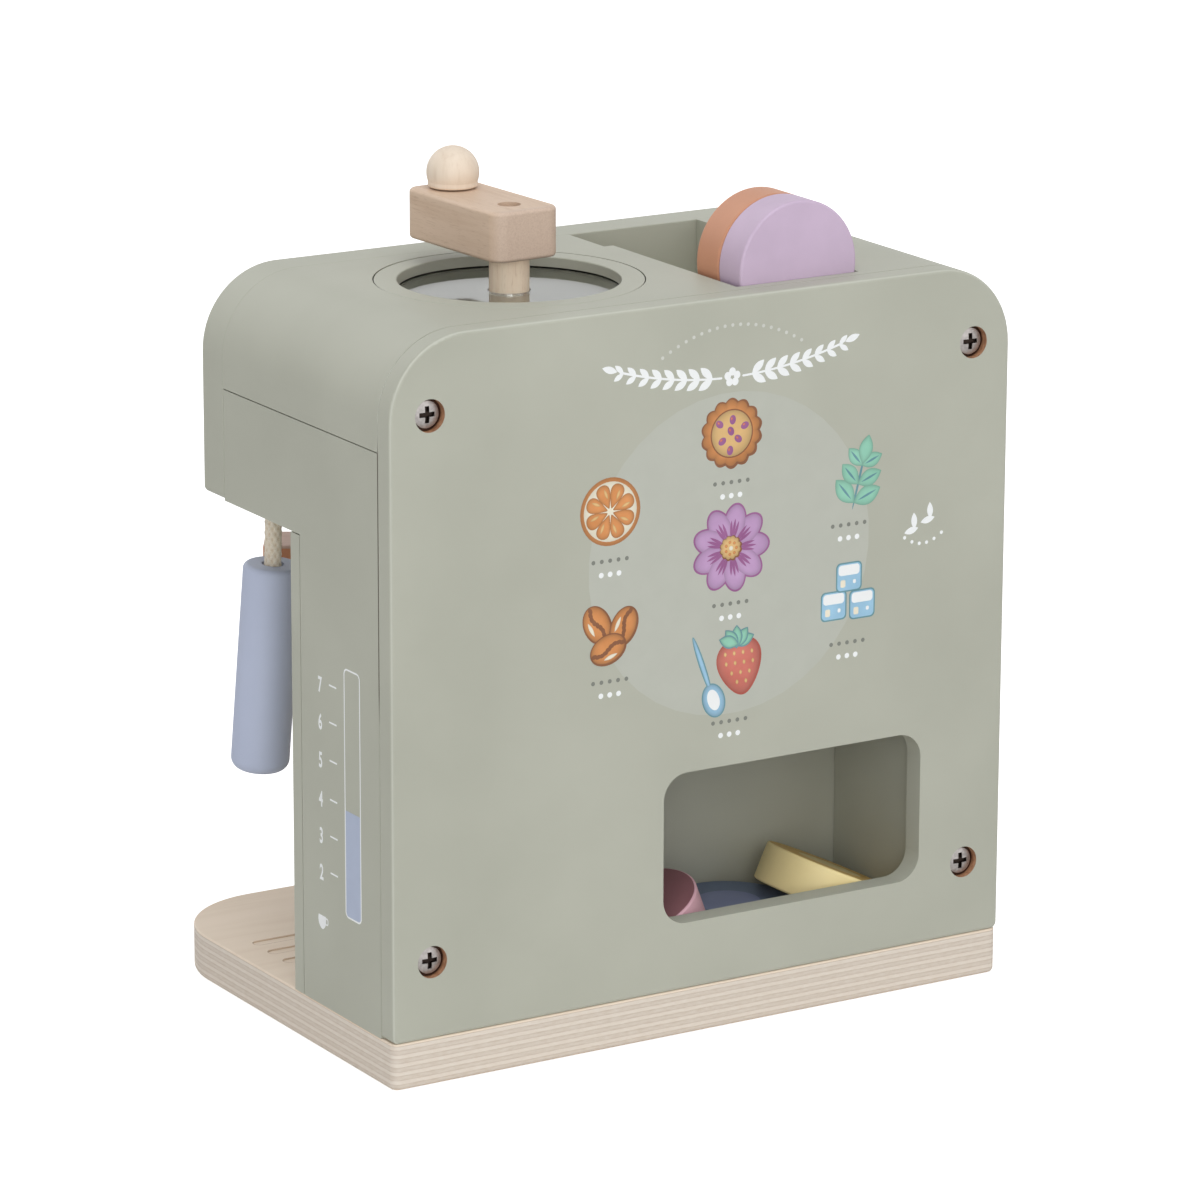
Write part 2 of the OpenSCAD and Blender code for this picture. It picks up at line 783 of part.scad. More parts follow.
module group_disc() {
    color(birch) difference() {
        at_group() translate([0, 0, disc_z]) union() {
            rotate_extrude() rim_profile(bowl_d / 2, disc_t, 0.8, 0.8);
            translate([0, 0, -3]) cylinder(d = bowl_d - 16 - 2 * loose_fit, h = 4);
        }
        at_group() translate([0, 0, disc_z + 3]) cylinder(d = 10.1, h = disc_t);
        at_magnets() translate([0, 0, disc_z - 1]) cylinder(d = magnet_d + 0.1, h = magnet_t + 1.1);
    }
}

module disc_magnets() {
    color(steel) at_magnets() translate([0, 0, disc_z]) cylinder(d = magnet_d, h = magnet_t);
}

module portafilter_bowl() {
    color(terracotta) difference() {
        at_group() translate([0, 0, bowl_z]) rotate_extrude() difference() {
            union() {
                square([bowl_d / 2 - 7, bowl_h]);
                polygon([[0, 0], [bowl_d / 2 - 9, 0], [bowl_d / 2, 7], [bowl_d / 2, 8], [0, 8]]);
                translate([0, 7]) rim_profile(bowl_d / 2, bowl_h - 7, 0.4, 1);
            }
            translate([0, 6]) square([bowl_d / 2 - 8, bowl_h]);
        }
        at_magnets() translate([0, 0, bowl_top - magnet_t]) cylinder(d = magnet_d + 0.1, h = magnet_t + 1);
        at_handle() translate([0, -bowl_d / 2 + 6, 0]) rotate([90, 0, 0]) cylinder(d = dowel_d + 0.1, h = 20);
        at_group() translate([0, 0, bowl_z - 1]) cylinder(d = dowel_d + 0.1, h = 5);
    }
}

module bowl_magnets() {
    color(steel) at_magnets() translate([0, 0, bowl_top - magnet_t]) cylinder(d = magnet_d, h = magnet_t);
}

// Frame of the portafilter's handle: -Y runs out along the handle's middle line
handle_z = bowl_top - handle_h / 2;
module at_handle() {
    translate([0, group_y, handle_z]) rotate(handle_turn) children();
}

module portafilter_handle() {
    inner = bowl_d / 2 - 14;
    l = handle_reach - inner;
    color(beech) difference() {
        at_handle() translate([0, -inner - l / 2, -handle_h / 2])
            edged_plate(handle_w, l, handle_h, [5, 5, 5, 5], 2, 1.6);
        at_group() translate([0, 0, bowl_z - 1]) cylinder(d = bowl_d + 0.2, h = bowl_h + 9);
        at_handle() translate([0, -bowl_d / 2 + 1, 0]) rotate([90, 0, 0]) cylinder(d = dowel_d + 0.1, h = 22);
    }
}

module handle_dowel() {
    color(beech) at_handle() translate([0, -bowl_d / 2 + 5.5, 0]) rotate([90, 0, 0]) peg(dowel_d, 24);
}

module twin_spout() {
    color(birch) at_group() rotate(handle_turn) translate([0, 0, bowl_z]) difference() {
        union() {
            translate([0, 0, -9]) cylinder(d = 20, h = 9);
            translate([0, 0, -1]) cylinder(d = dowel_d, h = 4.5);
            for (s = [-1, 1]) translate([s * 4, 0, -6]) rotate([0, s * 22, 0]) translate([0, 0, -12]) cylinder(d = 8, h = 14);
        }
        for (s = [-1, 1]) translate([s * 4, 0, -6]) rotate([0, s * 22, 0]) translate([0, 0, -13]) cylinder(d = 4, h = 9);
    }
}

// ---- controls ----

button_bay = 6.4;
flange_t = 3.2;
flange_d = button_d + 2.4;
flange_y = y_front_in - button_bay + loose_fit;
batten_y = flange_y + flange_t + 14;
spring_r = 6.4;
wire_r = 0.6;
spring_turns = 5;

module selector_dial() {
    color(lilac) translate([0, y_front - loose_fit, control_z]) rotate([90, 0, 0]) difference() {
        union() {
            rotate_extrude() rim_profile(dial_d / 2, dial_t, 0.4, 1.5);
            translate([0, 0, dial_t - 2]) edged_plate(9, dial_d - 4, dial_grip + 2, [3.4, 3.4, 3.4, 3.4], 0.4, 1.6);
        }
        translate([0, 0, -1]) cylinder(d = spindle_d + 0.1, h = dial_t + 4);
        translate([0, dial_d / 2 - 6, dial_t + dial_grip]) sphere(d = 3, $fn = 32);
    }
}

module selector_spindle() {
    l = dial_t + 2 + front_t + loose_fit;
    color(beech) translate([0, y_front_in + 0.4, control_z]) rotate([90, 0, 0]) difference() {
        cylinder(d = spindle_d, h = l);
        translate([0, 0, -1]) cylinder(d = 2.6, h = 14);
    }
}

module spindle_washer() {
    color(birch) translate([0, y_front_in + 0.4, control_z]) rotate([-90, 0, 0]) difference() {
        cylinder(d = spindle_d + 10, h = 3);
        translate([0, 0, -1]) cylinder(d = 2.8, h = 5);
    }
}

module spindle_screw() {
    color(steel) translate([0, y_front_in + 3.4, control_z]) rotate([-90, 0, 0]) pan_screw(2.5, 14, 5.5, 2);
}

module push_button(s) {
    l = flange_y - (y_front - button_out);
    translate([s * button_x, flange_y, control_z]) rotate([90, 0, 0]) {
        rotate_extrude() rim_profile(button_d / 2, l, 0.2, 2);
        translate([0, 0, -flange_t]) cylinder(d = flange_d, h = flange_t + 0.01);
        translate([0, 0, -flange_t - 3]) cylinder(d = 9, h = 4);
    }
}

module left_button() {
    color(navy) push_button(-1);
}

module right_button() {
    color(terracotta) push_button(1);
}

// Compression spring between a button's flange and the batten, with one flat turn at each end
module button_spring(s) {
    y0 = flange_y + flange_t + wire_r + 0.02;
    l = batten_y - y0 - wire_r - 0.02;
    steps = spring_turns * 14;
    pts = [for (i = [0:steps]) let (a = i * 360 / 14, f = i / steps)
        [s * button_x + spring_r * cos(a), y0 + l * f, control_z + spring_r * sin(a)]];
    swept_tube(pts, [for (p = pts) wire_r], 6);
}

module left_spring() {
    color(steel) button_spring(-1);
}

module right_spring() {
    color(steel) button_spring(1);
}

module button_batten() {
    h = 20;
    color(birch) difference() {
        union() {
            box([-x_side_in, batten_y, control_z - h / 2], [x_side_in, batten_y + 10, control_z + h / 2]);
            for (s = [-1, 1]) translate([s * button_x, batten_y + 1, control_z]) rotate([90, 0, 0]) cylinder(d = 9, h = 3);
        }
        at_batten_screws() translate([0, 0, -1]) cylinder(d = 3.4, h = 12);
        translate([0, batten_y - 1, control_z]) rotate([-90, 0, 0]) cylinder(d = spindle_d + 2, h = 12);
    }
}

module at_batten_screws() {
    for (s = [-1, 1]) translate([s * (button_x + 22), batten_y, control_z]) rotate([-90, 0, 0]) children();
}

module batten_screws() {
    color(steel) at_batten_screws() translate([0, 0, 10]) pan_screw(3, 16, 6, 2);
}

base_plate();
back_panel();
front_panel();
hood_block();
gauge_side_board();
plain_side_board();
column_board();
head_floor();
hopper_floor();
chamber_divider();
chute_wall();
grinder_ring();
grinder_window();
crank_shaft();
bean_paddle();
shaft_washer();
shaft_screw();
crank_arm();
arm_screw();
knob_pin();
crank_knob();
pod_lilac();
pod_terracotta();
pod_navy();
pod_yellow();
pod_rose();
rope_top_knot();
steam_rope();
steam_handle();
rope_end_knot();
group_head();
group_screws();
group_disc();
disc_pivot();
disc_magnets();
portafilter_bowl();
bowl_magnets();
portafilter_handle();
handle_dowel();
twin_spout();
selector_dial();
selector_spindle();
spindle_washer();
spindle_screw();
left_button();
right_button();
left_spring();
right_spring();
button_batten();
batten_screws();
panel_screws();
base_screws();
hopper_screws();
hood_dowels();
front_dowels();
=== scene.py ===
import math

import bmesh
import bpy
from mathutils import Matrix, Vector, noise


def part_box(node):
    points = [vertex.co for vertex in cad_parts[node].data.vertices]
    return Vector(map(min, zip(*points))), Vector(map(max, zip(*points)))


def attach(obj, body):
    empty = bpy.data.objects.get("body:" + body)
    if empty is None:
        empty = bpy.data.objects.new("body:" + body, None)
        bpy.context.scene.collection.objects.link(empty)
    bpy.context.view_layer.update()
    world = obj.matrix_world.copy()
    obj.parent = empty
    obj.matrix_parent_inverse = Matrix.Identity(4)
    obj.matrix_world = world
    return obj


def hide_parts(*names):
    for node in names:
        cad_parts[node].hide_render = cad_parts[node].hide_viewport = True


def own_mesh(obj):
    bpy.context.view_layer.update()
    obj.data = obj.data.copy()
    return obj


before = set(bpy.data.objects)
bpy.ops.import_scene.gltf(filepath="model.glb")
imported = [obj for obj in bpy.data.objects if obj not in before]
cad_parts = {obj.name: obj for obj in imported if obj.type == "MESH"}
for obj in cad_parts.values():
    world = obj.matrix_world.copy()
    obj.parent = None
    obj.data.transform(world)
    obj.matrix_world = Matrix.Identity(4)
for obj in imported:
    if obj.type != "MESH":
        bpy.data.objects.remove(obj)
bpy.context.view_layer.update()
MM = 0.001

# ---- Camera ----
# A long portrait lens two metres away, a little above the top of the machine, looks at
# the menu side and the gauge side.
view_turn = math.radians(148.62)
view_rise = math.radians(15.15)
view_roll = math.radians(0.175)
view_target = Vector((-1.065, 13.564, 134.034)) * MM
view_distance = 2.02
camera_data = bpy.data.cameras.new("camera")
camera_data.lens = 177.61
camera_data.sensor_width = 36
camera_data.clip_end = 30
camera = bpy.data.objects.new("camera", camera_data)
bpy.context.scene.collection.objects.link(camera)
view_facing = (Matrix.Rotation(view_turn, 4, "Z") @ Matrix.Rotation(math.pi / 2 - view_rise, 4, "X")
               @ Matrix.Rotation(view_roll, 4, "Z"))
camera.matrix_world = (Matrix.Translation(view_target) @ view_facing
                       @ Matrix.Translation((0, 0, view_distance)))
bpy.context.scene.camera = camera


# ---- Studio ----
# A seamless white floor under a large overhead softbox, with a smaller one in front and one
# each at the menu side and the cup side. The floor keeps the machine's soft shadow.
def softbox(name, place, aim, size, power, colour=(1, 1, 1)):
    light = bpy.data.lights.new(name, "AREA")
    light.shape = "SQUARE"
    light.size = size
    light.energy = power
    light.color = colour
    lamp = bpy.data.objects.new(name, light)
    bpy.context.scene.collection.objects.link(lamp)
    lamp.location = place
    lamp.rotation_euler = (Vector(aim) - Vector(place)).to_track_quat("-Z", "Y").to_euler()


body_middle = (0, 0, 0.13)
softbox("overhead softbox", (0.3, 0.9, 2.6), body_middle, 2.2, 25, (0.96, 0.98, 1.0))
softbox("menu side softbox", (-1.2, 2.6, 1.1), body_middle, 1.8, 6)
softbox("front softbox", (1.1, 2.0, 0.75), body_middle, 1.2, 13.5)
softbox("cup side softbox", (0.4, -2.4, 1.3), body_middle, 1.8, 9)
bpy.context.scene.view_settings.view_transform = "Standard"

def add_node(nodes, kind, **values):
    """A shader node with its settings, and its inputs where the name is an input's."""
    node = nodes.new(kind)
    for name, value in values.items():
        if hasattr(node, name):
            setattr(node, name, value)
        else:
            node.inputs[name.replace("_", " ")].default_value = value
    return node


def math_node(nodes, links, operation, first, second=None, third=None):
    node = add_node(nodes, "ShaderNodeMath", operation=operation)
    for socket, value in zip(node.inputs, (first, second, third)):
        if value is None:
            continue
        if isinstance(value, (int, float)):
            socket.default_value = value
        else:
            links.new(value, socket)
    return node.outputs[0]


def map_range(nodes, links, source, from_min=0.0, from_max=1.0, to_min=0.0, to_max=1.0):
    node = add_node(nodes, "ShaderNodeMapRange", From_Min=from_min, From_Max=from_max,
                    To_Min=to_min, To_Max=to_max)
    links.new(source, node.inputs["Value"])
    return node.outputs["Result"]


world = bpy.data.worlds.new("studio")
bpy.context.scene.world = world
world.use_nodes = True
nodes, links = world.node_tree.nodes, world.node_tree.links
sky_light = 0.46
ray = add_node(nodes, "ShaderNodeLightPath").outputs
direct = math_node(nodes, links, "MAXIMUM", ray["Is Camera Ray"], ray["Is Glossy Ray"])
seen = math_node(nodes, links, "MAXIMUM", direct, ray["Is Transmission Ray"])
links.new(map_range(nodes, links, seen, to_min=sky_light), nodes["Background"].inputs["Strength"])
nodes["Background"].inputs["Color"].default_value = (1, 1, 1, 1)


def into_scene(piece):
    bpy.context.scene.collection.objects.link(piece)
    return piece


floor_mesh = bpy.data.meshes.new("floor")
floor_shape = bmesh.new()
bmesh.ops.create_grid(floor_shape, x_segments=1, y_segments=1, size=12)
floor_shape.to_mesh(floor_mesh)
floor_shape.free()
floor = into_scene(bpy.data.objects.new("floor", floor_mesh))
white_floor = bpy.data.materials.new("white_floor")
white_floor.use_nodes = True
nodes, links = white_floor.node_tree.nodes, white_floor.node_tree.links
floor_paint = nodes["Principled BSDF"]
floor_paint.inputs["Base Color"].default_value = (0.86, 0.86, 0.86, 1)
floor_paint.inputs["Roughness"].default_value = 1.0
floor_paint.inputs["Specular IOR Level"].default_value = 0.0
floor_lift = 0.72
camera_ray = add_node(nodes, "ShaderNodeLightPath").outputs["Is Camera Ray"]
lifted = math_node(nodes, links, "MULTIPLY", camera_ray, floor_lift)
links.new(lifted, floor_paint.inputs["Emission Strength"])
floor_paint.inputs["Emission Color"].default_value = (1, 1, 1, 1)
floor_mesh.materials.append(white_floor)


# ---- Steam wand rope ----
# Braided cotton rope, 6 mm across, knotted inside the side board, threaded through the
# wooden handle and knotted again under it. Sixteen strands cross over and under.
def linear(colour):
    """Paint colours are written as the eye sees them, 0 to 255."""
    return tuple((c / 255 / 12.92) if c <= 10 else ((c / 255 + 0.055) / 1.055) ** 2.4
                 for c in colour) + (1,)


def new_finish(name, colour, roughness):
    finish = bpy.data.materials.new(name)
    finish.use_nodes = True
    shader = finish.node_tree.nodes["Principled BSDF"]
    shader.inputs["Base Color"].default_value = linear(colour)
    shader.inputs["Roughness"].default_value = roughness
    return finish, finish.node_tree.nodes, finish.node_tree.links, shader


def object_place(nodes, links, scale=(1, 1, 1), turn=(0, 0, 0), shift=(0, 0, 0)):
    """Object coordinates in metres, turned and then stretched. The shift is subtracted first."""
    place = add_node(nodes, "ShaderNodeTexCoord")
    move = add_node(nodes, "ShaderNodeMapping")
    move.inputs["Location"].default_value = [-v for v in shift]
    turned = add_node(nodes, "ShaderNodeMapping")
    turned.inputs["Rotation"].default_value = turn
    stretched = add_node(nodes, "ShaderNodeMapping")
    stretched.inputs["Scale"].default_value = scale
    links.new(place.outputs["Object"], move.inputs["Vector"])
    links.new(move.outputs["Vector"], turned.inputs["Vector"])
    links.new(turned.outputs["Vector"], stretched.inputs["Vector"])
    return stretched.outputs["Vector"]


def colour_ramp(nodes, links, source, stops):
    ramp = add_node(nodes, "ShaderNodeValToRGB")
    elements = ramp.color_ramp.elements
    while len(elements) < len(stops):
        elements.new(0.5)
    for element, (place, colour) in zip(elements, stops):
        element.position = place
        element.color = linear(colour)
    links.new(source, ramp.inputs["Fac"])
    return ramp.outputs["Color"]


def add_bump(nodes, links, shader, height, depth, strength=1.0):
    bump = add_node(nodes, "ShaderNodeBump", Strength=strength, Distance=depth)
    links.new(height, bump.inputs["Height"])
    links.new(bump.outputs["Normal"], shader.inputs["Normal"])


def mix_colours(nodes, links, share, first, second, blend="MIX"):
    mix = nodes.new("ShaderNodeMix")
    mix.data_type = "RGBA"
    mix.blend_type = blend
    for socket, value in ((mix.inputs[0], share), (mix.inputs[6], first), (mix.inputs[7], second)):
        if isinstance(value, (int, float, tuple)):
            socket.default_value = value
        else:
            links.new(value, socket)
    return mix.outputs[2]


def dress(node, finish):
    """A CAD part keeps its shape and takes this finish."""
    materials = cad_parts[node].data.materials
    materials.clear()
    materials.append(finish)


rope_exit = Vector((104, -25, 175.2)) * MM
rope_radius = 3 * MM
rope_ring_gap = 0.3 * MM
rope_smoothings = 60
rope_steps = [(0, 0, 0), (0, -0.4, -12), (0.1, -0.8, -23), (1.5, -2.9, -53), (2.9, -5.1, -84.4)]
rope_corners = [rope_exit + Vector(step) * MM for step in rope_steps]
rope_path = []
for first, second in zip(rope_corners, rope_corners[1:]):
    pieces_here = max(2, round((second - first).length / rope_ring_gap))
    rope_path += [first.lerp(second, i / pieces_here) for i in range(pieces_here)]
rope_path.append(rope_corners[-1])
for _ in range(rope_smoothings):
    rope_path = ([rope_path[0]] + [(a + 2 * b + c) / 4 for a, b, c in
                 zip(rope_path, rope_path[1:], rope_path[2:])] + [rope_path[-1]])
strands_around = 16
strand_pitch = 15 * MM
valley_share = 0.11
fuzz_share = 0.12
rope_shape = bmesh.new()
braid_layer = rope_shape.verts.layers.float.new("braid")
ring_count = 64
around = bmesh.ops.create_circle(rope_shape, segments=ring_count, radius=rope_radius)["verts"]
bmesh.ops.contextual_create(rope_shape, geom=around)
ring_edges = list(rope_shape.edges)
bmesh.ops.translate(rope_shape, verts=around, vec=rope_path[0])
run = 0.0


def braid_height(turn, run):
    """How far the braid stands above its valleys, from 0 to 1, at a turn round the rope."""
    half = strands_around / 2
    left = half * turn + 2 * math.pi * run / strand_pitch * half / 2
    right = half * turn - 2 * math.pi * run / strand_pitch * half / 2
    over = math.sin(left / 2 + right / 2) * math.sin((left - right) / 2)
    return 0.5 + 0.5 * over * abs(over) ** 0.2


rings = [list(around)]
for before, now in zip(rope_path, rope_path[1:]):
    grown = bmesh.ops.extrude_edge_only(rope_shape, edges=ring_edges)["geom"]
    ring = [v for v in grown if isinstance(v, bmesh.types.BMVert)]
    ring_edges = [e for e in grown if isinstance(e, bmesh.types.BMEdge)
                  and all(v in ring for v in e.verts)]
    bmesh.ops.translate(rope_shape, verts=ring, vec=now - before)
    rings.append(ring)
bmesh.ops.contextual_create(rope_shape, geom=rings[-1])
for index, ring in enumerate(rings):
    middle = rope_path[index]
    if index:
        run += (middle - rope_path[index - 1]).length
    for corner in ring:
        arm = corner.co - middle
        turn = math.atan2(arm.y, arm.x)
        fuzz = noise.noise(corner.co * 1800) * fuzz_share
        corner[braid_layer] = braid_height(turn, run)
        corner.co = middle + arm * (1 - valley_share + valley_share * corner[braid_layer] + fuzz * 0.3)
bmesh.ops.recalc_face_normals(rope_shape, faces=rope_shape.faces)
rope_mesh = bpy.data.meshes.new("braided_rope")
rope_shape.to_mesh(rope_mesh)
rope_shape.free()
rope_mesh.shade_smooth()
rope = into_scene(bpy.data.objects.new("braided_rope", rope_mesh))
cotton, nodes, links, shader = new_finish("cotton_braid", (214, 200, 182), 0.95)
thread = add_node(nodes, "ShaderNodeTexNoise", Scale=2600, Detail=4, Roughness=0.7)
links.new(object_place(nodes, links), thread.inputs["Vector"])
yarn = colour_ramp(nodes, links, thread.outputs["Fac"],
                   [(0.3, (226, 212, 190)), (0.5, (249, 237, 217)), (0.72, (255, 250, 238))])
# Painted shade: the braid's valleys, between the strands, are tinted a little darker than its crowns.
valley = add_node(nodes, "ShaderNodeAttribute", attribute_name="braid").outputs["Fac"]
painted_valley_shade = colour_ramp(nodes, links, valley,
                    [(0.02, (236, 228, 216)), (0.4, (252, 250, 247)), (0.6, (255, 255, 255))])
links.new(mix_colours(nodes, links, 1.0, yarn, painted_valley_shade, "MULTIPLY"), shader.inputs["Base Color"])
add_bump(nodes, links, shader, thread.outputs["Fac"], 0.25 * MM)
shader.inputs["Sheen Weight"].default_value = 0.3
rope_mesh.materials.append(cotton)
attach(rope, "steam_wand")
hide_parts("steam_rope")
for knot in ("rope_top_knot", "rope_end_knot"):
    dress(knot, cotton)


# ---- Plywood base ----
# Birch plywood, 16 mm thick and clear lacquered. Its eleven plies show round the edge
# as pale and darker lines. The shallow drip grooves have a brown line round each rim and
# walls a little darker than the top.
def axes_of(nodes, links, vector=None):
    """The X, Y and Z of a vector, or of the object coordinates where none is given."""
    split = add_node(nodes, "ShaderNodeSeparateXYZ")
    if vector is None:
        vector = add_node(nodes, "ShaderNodeTexCoord").outputs["Object"]
    links.new(vector, split.inputs[0])
    return split.outputs


def distance(nodes, links, first, second):
    return math_node(nodes, links, "SQRT", math_node(
        nodes, links, "ADD", math_node(nodes, links, "POWER", first, 2.0),
        math_node(nodes, links, "POWER", second, 2.0)))


veneer_t = 0.6 * MM
rim_inset = 5 * MM
groove_pitch = 10.9 * MM
groove_half = 107.35 * MM
groove_r = 2.3 * MM
rim_half = 0.22 * MM
grooves_y = -10.9 * MM
grooves_half_y = 27.2 * MM


def plywood(part, ply_count, face_colour, groove_h=0.0):
    """Plies are stacked along Z. A groove of this depth in the top has a brown line round its rim and
    slightly darker walls.
    """
    finish, nodes, links, shader = new_finish("birch_" + part, face_colour, 0.55)
    low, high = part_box(part)
    thickness = high[2] - low[2]
    place = add_node(nodes, "ShaderNodeTexCoord").outputs["Object"]
    axes = axes_of(nodes, links, place)
    sway = add_node(nodes, "ShaderNodeTexNoise", Scale=22, Detail=3)
    links.new(place, sway.inputs["Vector"])
    swayed = math_node(nodes, links, "MULTIPLY_ADD", sway.outputs["Fac"], 0.5 * MM, axes["Z"])
    ply = math_node(nodes, links, "MULTIPLY",
                    math_node(nodes, links, "SUBTRACT", swayed, low[2] + 0.25 * MM), ply_count / thickness)
    odd = math_node(nodes, links, "PINGPONG", ply, 1.0)
    plies = colour_ramp(nodes, links, odd,
                        [(0.0, (228, 218, 207)), (0.40, (224, 213, 202)), (0.50, (196, 181, 167)),
                         (0.60, (212, 200, 188)), (1.0, (216, 205, 194))])
    pores = add_node(nodes, "ShaderNodeTexNoise", Scale=1, Detail=5, Roughness=0.65)
    links.new(object_place(nodes, links, scale=(300, 300, 1500)), pores.inputs["Vector"])
    pored = colour_ramp(nodes, links, pores.outputs["Fac"], [(0.3, (160, 146, 130)), (0.7, (240, 232, 220))])
    edge = mix_colours(nodes, links, 0.25, plies, pored, "OVERLAY")
    grain = add_node(nodes, "ShaderNodeTexNoise", Scale=1, Detail=5, Roughness=0.55, Distortion=0.5)
    links.new(object_place(nodes, links, scale=(9, 90, 90)), grain.inputs["Vector"])
    r, g, b = face_colour
    veneer = colour_ramp(nodes, links, grain.outputs["Fac"],
                         [(0.28, (r - 7, g - 9, b - 10)), (0.5, face_colour), (0.75, (r + 4, g + 4, b + 5))])
    top = math_node(nodes, links, "GREATER_THAN", axes["Z"], high[2] - groove_h - veneer_t)
    below = math_node(nodes, links, "LESS_THAN", axes["Z"], low[2] + veneer_t)
    inside_x = math_node(nodes, links, "LESS_THAN",
                         math_node(nodes, links, "ABSOLUTE", axes["X"]), high[0] - rim_inset)
    inside_y = math_node(nodes, links, "COMPARE", axes["Y"], 0, high[1] - rim_inset)
    on_top = math_node(nodes, links, "MULTIPLY", top, math_node(nodes, links, "MULTIPLY", inside_x, inside_y))
    face = math_node(nodes, links, "GREATER_THAN", axes["Z"], high[2] - veneer_t)
    skin = math_node(nodes, links, "MAXIMUM", math_node(nodes, links, "MAXIMUM", on_top, face), below)
    colour = mix_colours(nodes, links, skin, edge, veneer)
    if groove_h:
        aside = math_node(nodes, links, "PINGPONG", axes["Y"], groove_pitch / 2)
        along = math_node(nodes, links, "MAXIMUM", 0.0, math_node(
            nodes, links, "SUBTRACT", math_node(nodes, links, "ABSOLUTE", axes["X"]), groove_half))
        reach = distance(nodes, links, aside, along)
        on_rim = math_node(nodes, links, "COMPARE", reach, groove_r, rim_half)
        among = math_node(nodes, links, "COMPARE", axes["Y"], grooves_y, grooves_half_y)
        rim = math_node(nodes, links, "MULTIPLY", on_rim, among)
        rim = math_node(nodes, links, "MULTIPLY", on_top, rim)
        colour = mix_colours(nodes, links, rim, colour, linear((196, 172, 150)))
        wall = math_node(nodes, links, "MULTIPLY", on_top, math_node(
            nodes, links, "COMPARE", axes["Z"], high[2] - groove_h / 2, groove_h / 2 - 0.05 * MM))
        colour = mix_colours(nodes, links, wall, colour, linear((226, 205, 184)))
    links.new(colour, shader.inputs["Base Color"])
    height = math_node(nodes, links, "ADD", grain.outputs["Fac"], pores.outputs["Fac"])
    add_bump(nodes, links, shader, height, 0.05 * MM, 0.4)
    return finish


dress("base_plate", plywood("base_plate", 11, (236, 219, 199), 0.4 * MM))


# ---- Sage green boards ----
# Beech plywood boards, sanded and sprayed with satin sage green paint. Under the paint
# the grain is barely felt; the screw counterbores were bored afterwards and show raw wood.
def bore_reach(nodes, links):
    """How far a point is from the axis of the nearest of the panel's four screws."""
    axes = axes_of(nodes, links)
    bore_x, middle_z, half_z = (v * MM for v in (105.2, 134.1, 91.6))
    from_x = math_node(nodes, links, "SUBTRACT", math_node(nodes, links, "ABSOLUTE", axes["X"]), bore_x)
    from_z = math_node(nodes, links, "SUBTRACT", math_node(nodes, links, "ABSOLUTE", math_node(
        nodes, links, "SUBTRACT", axes["Z"], middle_z)), half_z)
    return distance(nodes, links, from_x, from_z), axes


bore_r = 5.6 * MM
painted_y = 83.38 * MM
bore_floor_y = 80.7 * MM
clouding = 4


def satin_paint(name, colour, roughness=0.5, bored=False):
    finish, nodes, links, shader = new_finish(name, colour, roughness)
    cloud = add_node(nodes, "ShaderNodeTexNoise", Scale=16, Detail=3, Roughness=0.5)
    links.new(object_place(nodes, links), cloud.inputs["Vector"])
    r, g, b = colour
    tint = colour_ramp(nodes, links, cloud.outputs["Fac"],
                       [(0.3, (r - clouding, g - clouding, b - clouding)), (0.5, colour),
                        (0.7, tuple(min(255, c + clouding) for c in colour))])
    if bored:
        reach, axes = bore_reach(nodes, links)
        near = math_node(nodes, links, "LESS_THAN", reach, bore_r)
        deep = math_node(nodes, links, "LESS_THAN", axes["Y"], painted_y)
        fibres = add_node(nodes, "ShaderNodeTexNoise", Scale=900, Detail=4)
        links.new(object_place(nodes, links, scale=(1, 1, 0.3)), fibres.inputs["Vector"])
        raw = colour_ramp(nodes, links, fibres.outputs["Fac"],
                          [(0.3, (150, 104, 76)), (0.7, (194, 146, 112))])
        # Painted shade: the floor of each counterbore, round the screw head, is dark brown.
        bore_floor_shade = math_node(nodes, links, "LESS_THAN", axes["Y"], bore_floor_y)
        raw = mix_colours(nodes, links, bore_floor_shade, raw, linear((92, 60, 44)))
        tint = mix_colours(nodes, links, math_node(nodes, links, "MULTIPLY", near, deep), tint, raw)
        # Painted highlight: the panel's rounded rims, where the normal leans halfway towards Y, are
        # lightened.
        facing = axes_of(nodes, links, add_node(nodes, "ShaderNodeTexCoord").outputs["Normal"])
        slope = math_node(nodes, links, "POWER", facing["Y"], 2.0)
        slope = math_node(nodes, links, "MULTIPLY", slope, math_node(nodes, links, "SUBTRACT", 1.0, slope))
        painted_edge_highlight = map_range(nodes, links, slope, 0.15, 0.25, to_max=0.34)
        tint = mix_colours(nodes, links, painted_edge_highlight, tint, linear((218, 220, 210)))
    links.new(tint, shader.inputs["Base Color"])
    skin = add_node(nodes, "ShaderNodeTexNoise", Scale=1100, Detail=3, Roughness=0.6)
    links.new(object_place(nodes, links), skin.inputs["Vector"])
    add_bump(nodes, links, shader, skin.outputs["Fac"], 0.03 * MM, 0.6)
    shader.inputs["Specular IOR Level"].default_value = 0.4
    return finish


sage = (181, 182, 168)
sage_paint = satin_paint("sage_paint", sage)
for board in ("front_panel", "hood_block", "gauge_side_board", "plain_side_board", "column_board",
              "head_floor", "chamber_divider", "chute_wall"):
    dress(board, sage_paint)
dress("back_panel", satin_paint("sage_paint_bored", sage, bored=True))
